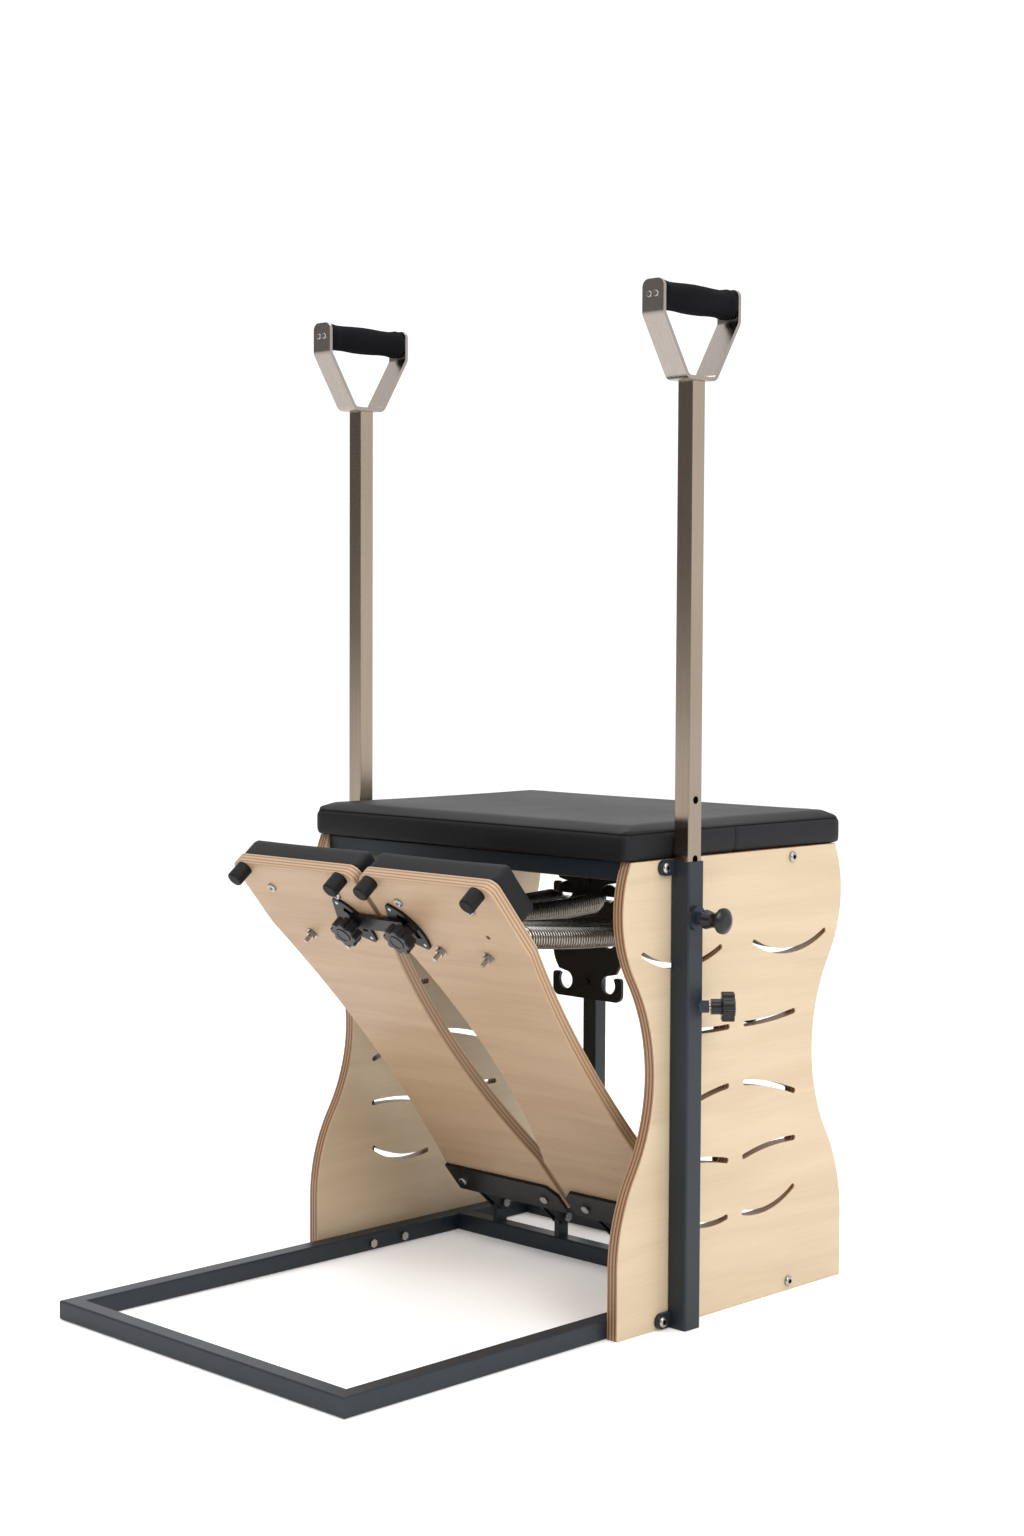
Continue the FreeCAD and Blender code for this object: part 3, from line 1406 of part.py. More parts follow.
def make_poles():
    """Sockets, poles, handles, pull pins and clamps."""
    for name, side in sides.items():
        save(name + "_socket", on_side(side, socket()))
        save(name + "_pole", on_side(side, pole()))
        save(name + "_handle_bracket", on_side(side, handle_bracket()))
        save(name + "_grip_core", *[on_side(side, piece) for piece in grip_core()])
        save(name + "_grip", on_side(side, grip_foam()))
        save(name + "_pin_housing", on_side(side, pin_housing()))
        save(name + "_pull_pin", on_side(side, pull_pin()))
        save(name + "_clamp_screw", on_side(side, clamp_screw()))
        save(name + "_clamp_knob", on_side(side, clamp_knob()))


def make_trees():
    """Spring posts and hook plates."""
    for name, side in sides.items():
        save(name + "_hook_plate", on_side(side, hook_plate()))
    screws = [on_side(side, screw) for side in sides.values() for screw in hook_plate_screws()]
    save("hook_plate_screws", *screws)
    save("tree_posts", *[on_side(side, tree_post()) for side in sides.values()])


def make_pedals():
    """Boards, pads, bumpers, hinge plates, bolts and the pedal lock."""
    for name, side in sides.items():
        lock_x = lock_left_x if side < 0 else lock_right_x
        stud = lock_stud(lock_x)
        screws = lock_screws(lock_x)
        bolts = [on_side(side, bolt) for bolt in pedal_bolts()]
        plate = drill(lock_plate(lock_x), screws)
        board = drill(on_side(side, pedal_board()), bolts + screws + [stud])
        if side > 0:
            board = board.cut(spare_hole())
        hinge = drill(on_side(side, hinge_plate()), bolts)
        save(name + "_pedal_board", raise_pedal(board))
        save(name + "_pedal_pad", raise_pedal(on_side(side, pedal_pad())))
        save(name + "_bumpers", *[raise_pedal(on_side(side, piece)) for piece in pedal_bumpers()])
        save(name + "_hinge_plate", raise_pedal(hinge))
        save(name + "_pedal_bolts", *[raise_pedal(piece) for piece in bolts + screws + [stud]])
        save(name + "_eye_bolts", *[raise_pedal(on_side(side, piece)) for piece in eye_bolts()])
        save(name + "_lock_plate", raise_pedal(plate))
        save(name + "_lock_knob", raise_pedal(lock_knob(lock_x)))
    save("lock_bar", raise_pedal(lock_bar()))


def make_springs():
    """Coils and swivel hooks, two springs to a pedal."""
    for name, side in sides.items():
        places = [side * x for x in eye_places()]
        coils = [spring_coil(x) for x in places]
        save(name + "_spring_coils", *[coil for coil, _ in coils])
        save(name + "_rear_hooks", *[rear_hook(x) for x in places])
        save(name + "_front_hooks", *[front_hook(x) for x in places])
        section = math.pi * spring_wire_radius ** 2
        for (coil, length), x in zip(coils, places):
            print(name, "coil volume share", round(coil.Volume / (section * length), 4), "least gap",
                  round(coil_gap(x), 2))


def turning_points():
    """Prints the joints' places and the pedal's travel, for the motion."""
    rear, eye, way = spring_line(eye_places()[0])
    stud = raised(lock_stud_place(lock_left_x))
    print("pivot", pivot_y, pivot_height, "rear hook", rear.y, rear.z)
    print("eye", eye.y, eye.z, "way", way.y, way.z)
    print("stud left", stud.x, stud.y, stud.z, "stud right", raised(lock_stud_place(lock_right_x)))
    print("index", socket_x, socket_y, index_height, "clamp", clamp_height)
    bumper_low = pedal_drop + bumper_length
    reach = math.hypot(bumper_reach, bumper_low)
    rest_low = (tube_size + gap_clearance - pivot_height) / reach
    left_over = math.degrees(math.asin(rest_low) + math.atan2(bumper_low, bumper_reach))
    print("pedal travel", pedal_tilt - left_over)


os.makedirs("parts", exist_ok=True)
make_base()
make_body()
make_poles()
make_trees()
make_pedals()
make_springs()
turning_points()
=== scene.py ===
import logging
import math
from dataclasses import dataclass
from enum import Enum
from typing import Callable, Dict, Iterable, List, Optional, Sequence, Tuple, Union

import bmesh
import bpy
from mathutils import Matrix, Vector, noise


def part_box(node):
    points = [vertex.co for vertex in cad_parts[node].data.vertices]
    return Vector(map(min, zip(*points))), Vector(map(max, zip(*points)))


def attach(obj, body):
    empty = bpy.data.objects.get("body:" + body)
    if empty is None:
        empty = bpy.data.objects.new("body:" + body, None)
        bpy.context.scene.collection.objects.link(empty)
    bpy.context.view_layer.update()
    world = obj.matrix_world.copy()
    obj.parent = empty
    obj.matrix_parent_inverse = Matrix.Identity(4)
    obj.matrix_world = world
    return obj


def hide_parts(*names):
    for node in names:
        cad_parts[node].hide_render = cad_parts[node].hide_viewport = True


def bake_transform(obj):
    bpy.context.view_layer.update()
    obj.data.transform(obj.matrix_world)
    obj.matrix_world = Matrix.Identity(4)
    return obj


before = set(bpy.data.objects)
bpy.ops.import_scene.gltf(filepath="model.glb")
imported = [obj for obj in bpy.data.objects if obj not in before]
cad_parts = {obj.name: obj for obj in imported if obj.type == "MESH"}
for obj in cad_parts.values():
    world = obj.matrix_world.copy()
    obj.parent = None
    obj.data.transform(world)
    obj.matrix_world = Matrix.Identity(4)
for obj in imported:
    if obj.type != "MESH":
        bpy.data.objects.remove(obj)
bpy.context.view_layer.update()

Colour = Tuple[float, float, float]

# As in CAD, in metres and degrees: the raised pedals' pivot and tilt, how far the springs stand from the
# middle, and where the seat's upright join runs.
PIVOT_Y = 0.256
PIVOT_Z = 0.054
PEDAL_TILT = 50.45
SPRING_PLACES: Tuple[float, float] = (0.083, 0.169)
SEAT_JOIN_Y = 0.2165

log = logging.getLogger("pilates_chair")


class Side(Enum):
    """The two sides of the chair, seen from the front."""

    LEFT = -1
    RIGHT = 1

    @property
    def word(self) -> str:
        """The side's word in node and body names."""
        return self.name.lower()

    def node(self, piece: str) -> str:
        """The name of a node, body or piece on this side."""
        return f"{self.word}_{piece}"


class Lie(Enum):
    """How a plywood board lies, which sets where its plies and its grain run."""

    UPRIGHT = "panel"
    RAISED = "pedal"
    LEVEL = "seat"


class Field:
    """A shader socket that takes part in sums, each of which adds a Math node."""

    def __init__(self, sheet: "Sheet", socket: bpy.types.NodeSocket) -> None:
        """Keeps the socket and the sheet that it is on."""
        self.sheet = sheet
        self.socket = socket

    def math(self, operation: str, *others: Union["Field", float]) -> "Field":
        """Adds a Math node with this socket first.

        Args:
            operation: the Math node's operation.
            others: its further values or sockets.

        Returns:
            The node's result.
        """
        values = dict(enumerate((self,) + others))
        return self.sheet.field("ShaderNodeMath", {"operation": operation}, values)

    def after(self, operation: str, first: float) -> "Field":
        """Adds a Math node with a number first and this socket second."""
        return self.sheet.field("ShaderNodeMath", {"operation": operation}, {0: first, 1: self})

    def __add__(self, other: Union["Field", float]) -> "Field":
        """Sum."""
        return self.math("ADD", other)

    def __radd__(self, other: float) -> "Field":
        """Sum, number first."""
        return self.after("ADD", other)

    def __sub__(self, other: Union["Field", float]) -> "Field":
        """Difference."""
        return self.math("SUBTRACT", other)

    def __rsub__(self, other: float) -> "Field":
        """Difference, number first."""
        return self.after("SUBTRACT", other)

    def __mul__(self, other: Union["Field", float]) -> "Field":
        """Product."""
        return self.math("MULTIPLY", other)

    def __abs__(self) -> "Field":
        """Size without sign."""
        return self.math("ABSOLUTE")

    def between(self, low: float, high: float) -> "Field":
        """0 at low, 1 at high, smooth between them and clamped outside."""
        settings = {"interpolation_type": "SMOOTHSTEP"}
        return self.sheet.field("ShaderNodeMapRange", settings,
                                {"Value": self, "From Min": low, "From Max": high})


Value = Union[Field, float, Sequence[float]]


class Sheet:
    """One material's node sheet, round a Principled shader."""

    def __init__(self, title: str) -> None:
        """Starts a material with a bare shader and its output."""
        self.material = bpy.data.materials.new(title)
        self.material.use_nodes = True
        self.tree = self.material.node_tree
        self.tree.nodes.clear()
        self.shader = self.node("ShaderNodeBsdfPrincipled")
        self.node("ShaderNodeOutputMaterial", sockets={"Surface": Field(self, self.shader.outputs[0])})

    def node(self, kind: str, settings: Optional[Dict[str, object]] = None,
             sockets: Optional[Dict[Union[str, int], Value]] = None) -> bpy.types.Node:
        """Adds a node.

        Args:
            kind: the node's type.
            settings: its settings, set first.
            sockets: values or links, by socket name or number.

        Returns:
            The node.
        """
        made = self.tree.nodes.new(kind)
        for key, value in (settings or {}).items():
            setattr(made, key, value)
        for key, value in (sockets or {}).items():
            self.join(made.inputs[key], value)
        return made

    def join(self, socket: bpy.types.NodeSocket, value: Value) -> None:
        """Links a field to a socket, or sets the socket's value."""
        if isinstance(value, Field):
            self.tree.links.new(value.socket, socket)
        elif isinstance(value, (int, float)):
            socket.default_value = value
        else:
            whole = tuple(value)
            socket.default_value = whole + (1.0,) * (len(socket.default_value) - len(whole))

    def field(self, kind: str, settings: Optional[Dict[str, object]] = None,
              sockets: Optional[Dict[Union[str, int], Value]] = None, output: Union[str, int] = 0) -> Field:
        """Adds a node and gives one of its outputs."""
        return Field(self, self.node(kind, settings, sockets).outputs[output])

    def place(self, turn: Sequence[float] = (0, 0, 0), shift: Sequence[float] = (0, 0, 0),
              stretch: Sequence[float] = (1, 1, 1)) -> Field:
        """Object coordinates, stretched, turned and shifted in that order."""
        raw = self.field("ShaderNodeTexCoord", output="Object")
        return self.field("ShaderNodeMapping", sockets={"Vector": raw, "Location": shift, "Rotation": turn,
                                                        "Scale": stretch})

    def split(self, vector: Field) -> Tuple[Field, Field, Field]:
        """The three parts of a vector."""
        made = self.node("ShaderNodeSeparateXYZ", sockets={0: vector})
        return Field(self, made.outputs[0]), Field(self, made.outputs[1]), Field(self, made.outputs[2])

    def joined(self, x: Value, y: Value, z: Value) -> Field:
        """A vector from its three parts."""
        return self.field("ShaderNodeCombineXYZ", sockets={0: x, 1: y, 2: z})

    def noise(self, vector: Field, scale: float, detail: float = 2.0, roughness: float = 0.5) -> Field:
        """Cloudy noise from 0 to 1."""
        return self.field("ShaderNodeTexNoise", sockets={"Vector": vector, "Scale": scale, "Detail": detail,
                                                         "Roughness": roughness})

    def cells(self, vector: Field, scale: float) -> Field:
        """Distance to the nearest edge between random cells."""
        return self.field("ShaderNodeTexVoronoi", {"feature": "DISTANCE_TO_EDGE"},
                          {"Vector": vector, "Scale": scale})

    def mix(self, share: Field, first: Value, second: Value) -> Field:
        """A colour between two colours."""
        return self.field("ShaderNodeMix", {"data_type": "RGBA"}, {0: share, 6: first, 7: second}, output=2)

    def bump(self, height: Field, strength: float, depth: float) -> Field:
        """A normal that follows a height."""
        return self.field("ShaderNodeBump", sockets={"Height": height, "Strength": strength,
                                                     "Distance": depth})

    def surface(self, sockets: Dict[str, Value]) -> None:
        """Sets or links the shader's own sockets."""
        for key, value in sockets.items():
            self.join(self.shader.inputs[key], value)


@dataclass(frozen=True)
class Finish:
    """A finish that a maker would name: a title, and the record's slot that it belongs to."""

    title: str
    slot: str

    def material(self) -> bpy.types.Material:
        """The finish's material, made on first use."""
        found = bpy.data.materials.get(self.title)
        if found is None:
            sheet = Sheet(self.title)
            self.paint(sheet)
            found = sheet.material
        return found

    def paint(self, sheet: Sheet) -> None:
        """Draws the finish on its sheet."""
        raise NotImplementedError


@dataclass(frozen=True)
class Plywood(Finish):
    """Lacquered birch plywood: quiet face grain, and its plies on every cut edge."""

    lie: Lie = Lie.UPRIGHT
    thickness: float = 0.018
    ply_count: int = 7
    face_light: Colour = (0.590, 0.470, 0.322)
    face_dark: Colour = (0.500, 0.384, 0.252)
    ply_light: Colour = (0.420, 0.248, 0.140)
    ply_dark: Colour = (0.150, 0.070, 0.034)
    panel_inner: float = 0.278
    seat_under: float = 0.603
    pedal_tilt: float = PEDAL_TILT
    pedal_drop: float = 0.0114
    pivot_y: float = PIVOT_Y
    pivot_z: float = PIVOT_Z
    tone_shares: Tuple[float, float, float] = (0.55, 0.25, 0.20)
    outer_ply_share: float = 0.2
    end_grain_share: float = 0.30
    skin: Tuple[float, float] = (0.0002, 0.0012)
    lacquer: float = 0.12

    def board_axes(self, sheet: Sheet) -> Tuple[Field, Field, Field]:
        """Where a point is on its board: across the grain, along it, and through the thickness."""
        if self.lie is Lie.RAISED:
            turn = Matrix.Rotation(math.radians(self.pedal_tilt), 3, "X")
            shift = -(turn @ Vector((0, self.pivot_y, self.pivot_z)))
            x, y, z = sheet.split(sheet.place(turn=(math.radians(self.pedal_tilt), 0, 0), shift=shift))
            return y, x, z + self.pedal_drop
        x, y, z = sheet.split(sheet.place())
        if self.lie is Lie.UPRIGHT:
            return z, y, abs(x) - self.panel_inner
        return y, x, z - self.seat_under

    def paint(self, sheet: Sheet) -> None:
        """Face grain and pores, with the plies where the thickness shows."""
        across, along, through = self.board_axes(sheet)
        ply = self.thickness / self.ply_count
        cloud = sheet.noise(sheet.joined(across * 3.0, along * 0.55, through), 3.2, 3.0, 0.55)
        flame = sheet.noise(sheet.joined(across * 22.0 + cloud * 2.5, along * 1.3, through * 4.0), 1.6, 3.0,
                            0.5)
        fibre = sheet.noise(sheet.joined(across * 420.0, along * 9.0, through * 60.0), 1.0, 2.0, 0.6)
        flame_share, fibre_share, cloud_share = self.tone_shares
        tone = flame.between(0.30, 0.72) * flame_share + fibre.between(0.35, 0.75) * fibre_share
        tone = tone + cloud.between(0.3, 0.7) * cloud_share
        face = sheet.mix(tone, self.face_light, self.face_dark)
        outer = ply * self.outer_ply_share
        inside = through.math("MAXIMUM", outer).math("MINIMUM", self.thickness - outer)
        wave = (inside * (math.pi / ply)).math("SINE")
        end_grain = sheet.noise(sheet.joined(across * 900.0, along * 900.0, through * 300.0), 1.0, 2.0, 0.6)
        plies = sheet.mix(wave.between(-0.75, 0.35), self.ply_dark, self.ply_light)
        plies = sheet.mix(end_grain.between(0.45, 0.8) * self.end_grain_share, plies, self.ply_dark)
        depth = through.math("MINIMUM", self.thickness - through)
        colour = sheet.mix(depth.between(*self.skin), face, plies)
        rough = 0.40 + fibre * 0.16
        sheet.surface({"Base Color": colour, "Roughness": rough, "Normal": sheet.bump(fibre, 0.10, 0.0003),
                       "Coat Weight": self.lacquer, "Coat Roughness": 0.25, "Specular IOR Level": 0.4})


@dataclass(frozen=True)
class Coated(Finish):
    """Powder coat or moulded skin: one tone with a fine pebbled surface and slight wear."""

    tone: Colour = (0.03, 0.04, 0.055)
    worn: Colour = (0.05, 0.06, 0.075)
    roughness: float = 0.42
    pebble_scale: float = 900.0
    pebble_depth: float = 0.00018
    gloss: float = 0.5
    wear_scale: float = 11.0
    wear_gloss: float = 0.14

    def paint(self, sheet: Sheet) -> None:
        """Pebbled bump, cloudy tone and cloudy gloss."""
        place = sheet.place()
        pebble = sheet.noise(place, self.pebble_scale, 2.0, 0.55)
        cloud = sheet.noise(place, self.wear_scale, 4.0, 0.6)
        colour = sheet.mix(cloud.between(0.42, 0.78) * 0.6 + pebble.between(0.5, 0.9) * 0.2, self.tone,
                           self.worn)
        rough = cloud * self.wear_gloss + (self.roughness - self.wear_gloss / 2)
        sheet.surface({"Base Color": colour, "Roughness": rough,
                       "Normal": sheet.bump(pebble, 0.35, self.pebble_depth),
                       "Specular IOR Level": self.gloss})


@dataclass(frozen=True)
class BareMetal(Finish):
    """Bare metal with brushing along one axis and a faint change of tone."""

    light: Colour = (0.60, 0.57, 0.53)
    dark: Colour = (0.44, 0.41, 0.37)
    roughness: float = 0.26
    brushing: Tuple[float, float, float] = (900.0, 900.0, 5.0)
    relief: float = 0.08
    unevenness: float = 0.16
    cloud_scale: float = 6.0
    cloud_gloss: float = 0.08
    line_depth: float = 0.0002

    def paint(self, sheet: Sheet) -> None:
        """Brush lines in tone, gloss and bump."""
        lines = sheet.noise(sheet.place(stretch=self.brushing), 1.0, 3.0, 0.6)
        cloud = sheet.noise(sheet.place(), self.cloud_scale, 3.0, 0.5)
        colour = sheet.mix(lines.between(0.3, 0.75) * 0.6 + cloud.between(0.35, 0.7) * 0.4, self.light,
                           self.dark)
        least = self.roughness - (self.unevenness + self.cloud_gloss) / 2
        rough = lines * self.unevenness + cloud * self.cloud_gloss + least
        sheet.surface({"Base Color": colour, "Metallic": 1.0, "Roughness": rough,
                       "Normal": sheet.bump(lines, self.relief, self.line_depth)})


@dataclass(frozen=True)
class Vinyl(Finish):
    """Black upholstery vinyl with a fine embossed grain."""

    tone: Colour = (0.0060, 0.0062, 0.0076)
    high: Colour = (0.0120, 0.0122, 0.0140)
    seam_height: float = 0.0
    seam_half: float = 0.0013
    join_y: float = 0.0
    join_x: float = 0.27
    join_fade: float = 0.005
    join_share: float = 0.7
    # Painted shade: the near-black colour on the seam lines stands for the shade in their creases.
    thread: Colour = (0.0006, 0.0006, 0.0007)
    thread_roughness: float = 0.4
    thread_depth: float = 3.0
    roughness: float = 0.43
    cell_scale: float = 620.0
    warp_scale: float = 160.0
    wrinkle_scale: float = 34.0
    cloud_scale: float = 7.0

    def seams(self, sheet: Sheet) -> Field:
        """1 on the sewn edge and on the upright join below it, 0 elsewhere."""
        x, y, z = sheet.split(sheet.place())
        rim = 1.0 - abs(z - self.seam_height).between(self.seam_half * 0.35, self.seam_half)
        join = 1.0 - abs(y - self.join_y).between(self.seam_half * 0.2, self.seam_half * 0.7)
        side = x.between(self.join_x, self.join_x + self.join_fade)
        below = 1.0 - z.between(self.seam_height - 0.001, self.seam_height)
        return rim.math("MAXIMUM", join * side * below * self.join_share)

    def paint(self, sheet: Sheet) -> None:
        """Cell grain with small wrinkles, uneven gloss and, on the seat, its seams, darkened with painted
        shade.
        """
        place = sheet.place()
        warp = sheet.noise(place, self.warp_scale, 2.0, 0.5)
        grain = sheet.cells(place, self.cell_scale).between(0.0, 0.16)
        wrinkle = sheet.noise(place, self.wrinkle_scale, 3.0, 0.55)
        cloud = sheet.noise(place, self.cloud_scale, 2.0, 0.5)
        height = grain * 0.6 + warp * 0.5 + wrinkle * 1.2
        colour = sheet.mix(grain * 0.5 + cloud.between(0.35, 0.7) * 0.4, self.tone, self.high)
        rough = self.roughness + cloud * 0.16
        if self.seam_height:
            seam = self.seams(sheet)
            # Painted shade: the seam lines are darkened as the shade in their creases.
            colour = sheet.mix(seam, colour, self.thread)
            rough = rough + seam * self.thread_roughness
            height = height - seam * self.thread_depth
        sheet.surface({"Base Color": colour, "Roughness": rough,
                       "Normal": sheet.bump(height, 0.28, 0.0005), "Specular IOR Level": 0.18})


class Finishes:
    """Every finish on the chair."""

    panel_ply = Plywood("panel plywood", "plywood", Lie.UPRIGHT)
    # The pedal plywood's faces are darker than the panels': painted shade for the shaded undersides of the
    # raised pedals.
    pedal_ply = Plywood("pedal plywood", "plywood", Lie.RAISED, face_light=(0.500, 0.345, 0.218),
                        face_dark=(0.405, 0.265, 0.158), ply_light=(0.480, 0.325, 0.200),
                        ply_dark=(0.270, 0.158, 0.088))
    seat_ply = Plywood("seat board plywood", "plywood", Lie.LEVEL, thickness=0.015, ply_count=5)
    frame_coat = Coated("frame powder coat", "frame_paint", (0.010, 0.016, 0.0225), (0.017, 0.0245, 0.032),
                        gloss=0.36)
    black_coat = Coated("black plate coat", "black_steel", (0.005, 0.005, 0.0055), (0.010, 0.0095, 0.009),
                        0.40, gloss=0.3)
    knob_skin = Coated("moulded knob skin", "knob_plastic", (0.006, 0.006, 0.007), (0.011, 0.011, 0.012),
                       0.26, 1400.0, 0.00006, 0.35)
    rubber_skin = Coated("bumper rubber", "rubber", (0.006, 0.006, 0.006), (0.012, 0.0115, 0.011), 0.60,
                         1100.0, gloss=0.18)
    foam_skin = Coated("grip foam", "foam", (0.0055, 0.0056, 0.0070), (0.011, 0.011, 0.013), 0.95, 1500.0,
                       0.0007, 0.06)
    # Painted shade: near black for the shallow bolt sockets, standing for the shade inside them.
    recess_shade = Coated("bolt recess", "zinc", (0.010, 0.010, 0.010), (0.03, 0.03, 0.03), 0.5)
    pole_steel = BareMetal("brushed pole steel", "stainless", (0.400, 0.325, 0.255), (0.330, 0.264, 0.204),
                           0.19, relief=0.010, unevenness=0.10)
    bracket_steel = BareMetal("brushed bracket steel", "stainless", (0.365, 0.325, 0.292),
                              (0.325, 0.288, 0.258), 0.28, (220.0, 12.0, 12.0), 0.004, 0.05)
    bolt_zinc = BareMetal("bright bolt zinc", "zinc", (0.47, 0.46, 0.45), (0.33, 0.32, 0.31), 0.24,
                          (300.0, 300.0, 300.0))
    spring_wire = BareMetal("bright spring wire", "spring_steel", (0.43, 0.41, 0.375), (0.27, 0.255, 0.23),
                            0.22, (200.0, 700.0, 200.0))
    seat_vinyl = Vinyl("black seat vinyl", "vinyl", seam_height=0.6375, join_y=SEAT_JOIN_Y)
    pad_vinyl = Vinyl("black pad vinyl", "vinyl")


def finish_piece(name: str, bm: bmesh.types.BMesh, finish: Finish,
                 smooth_below: float = 40.0) -> bpy.types.Object:
    """Turns a bmesh into a piece at the origin.

    Args:
        name: the piece's name.
        bm: its shape, freed here.
        finish: its finish.
        smooth_below: the steepest angle, in degrees, that is shaded smooth.

    Returns:
        The piece, which rides on nothing yet.
    """
    mesh = bpy.data.meshes.new(name)
    for face in bm.faces:
        face.smooth = True
    for edge in bm.edges:
        edge.smooth = len(edge.link_faces) != 2 or edge.calc_face_angle(0.0) < math.radians(smooth_below)
    bm.to_mesh(mesh)
    bm.free()
    mesh.materials.append(finish.material())
    piece = bpy.data.objects.new(name, mesh)
    bpy.context.scene.collection.objects.link(piece)
    return piece


def absorb(bm: bmesh.types.BMesh, part: bmesh.types.BMesh) -> None:
    """Adds a finished part to a mesh, and frees the part."""
    spare = bpy.data.meshes.new("part")
    part.to_mesh(spare)
    part.free()
    bm.from_mesh(spare)
    bpy.data.meshes.remove(spare)


@dataclass(frozen=True)
class Dish:
    """A low closed disc whose top has a flat rim round a sunk middle."""

    radius: float
    height: float
    rim: float
    sink: float
    bite: float
    sides: int = 36
    taper: float = 0.97

    def add(self, bm: bmesh.types.BMesh, face: Matrix) -> None:
        """Adds the disc to a mesh.

        Args:
            bm: the mesh that it goes into.
            face: the place on a surface where it stands,
            sunk by its bite; it rises along the place's own Z.
        """
        centre = face @ Matrix.Translation((0, 0, self.height / 2 - self.bite))
        made = bmesh.ops.create_cone(bm, cap_ends=True, segments=self.sides, radius1=self.radius,
                                     radius2=self.radius * self.taper, depth=self.height, matrix=centre)
        bm.normal_update()
        axis = (face.to_3x3() @ Vector((0, 0, 1))).normalized()
        top = list({f for v in made["verts"] for f in v.link_faces if f.normal.dot(axis) > 0.9})
        bmesh.ops.inset_region(bm, faces=top, thickness=self.rim, depth=0.0)
        bmesh.ops.inset_region(bm, faces=top, thickness=self.sink, depth=-self.sink)


def coat(mesh: bpy.types.Mesh, finish: Finish) -> None:
    """Gives a mesh one finish all over."""
    mesh.materials.clear()
    mesh.materials.append(finish.material())


def dress(nodes: Iterable[str], finish: Finish) -> None:
    """Gives CAD nodes a finish."""
    for name in nodes:
        coat(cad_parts[name].data, finish)
        log.info("dressed %s with %s", name, finish.title)


def both(*pieces: str) -> List[str]:
    """The names of the left and right nodes of each piece."""
    return [side.node(piece) for piece in pieces for side in Side]


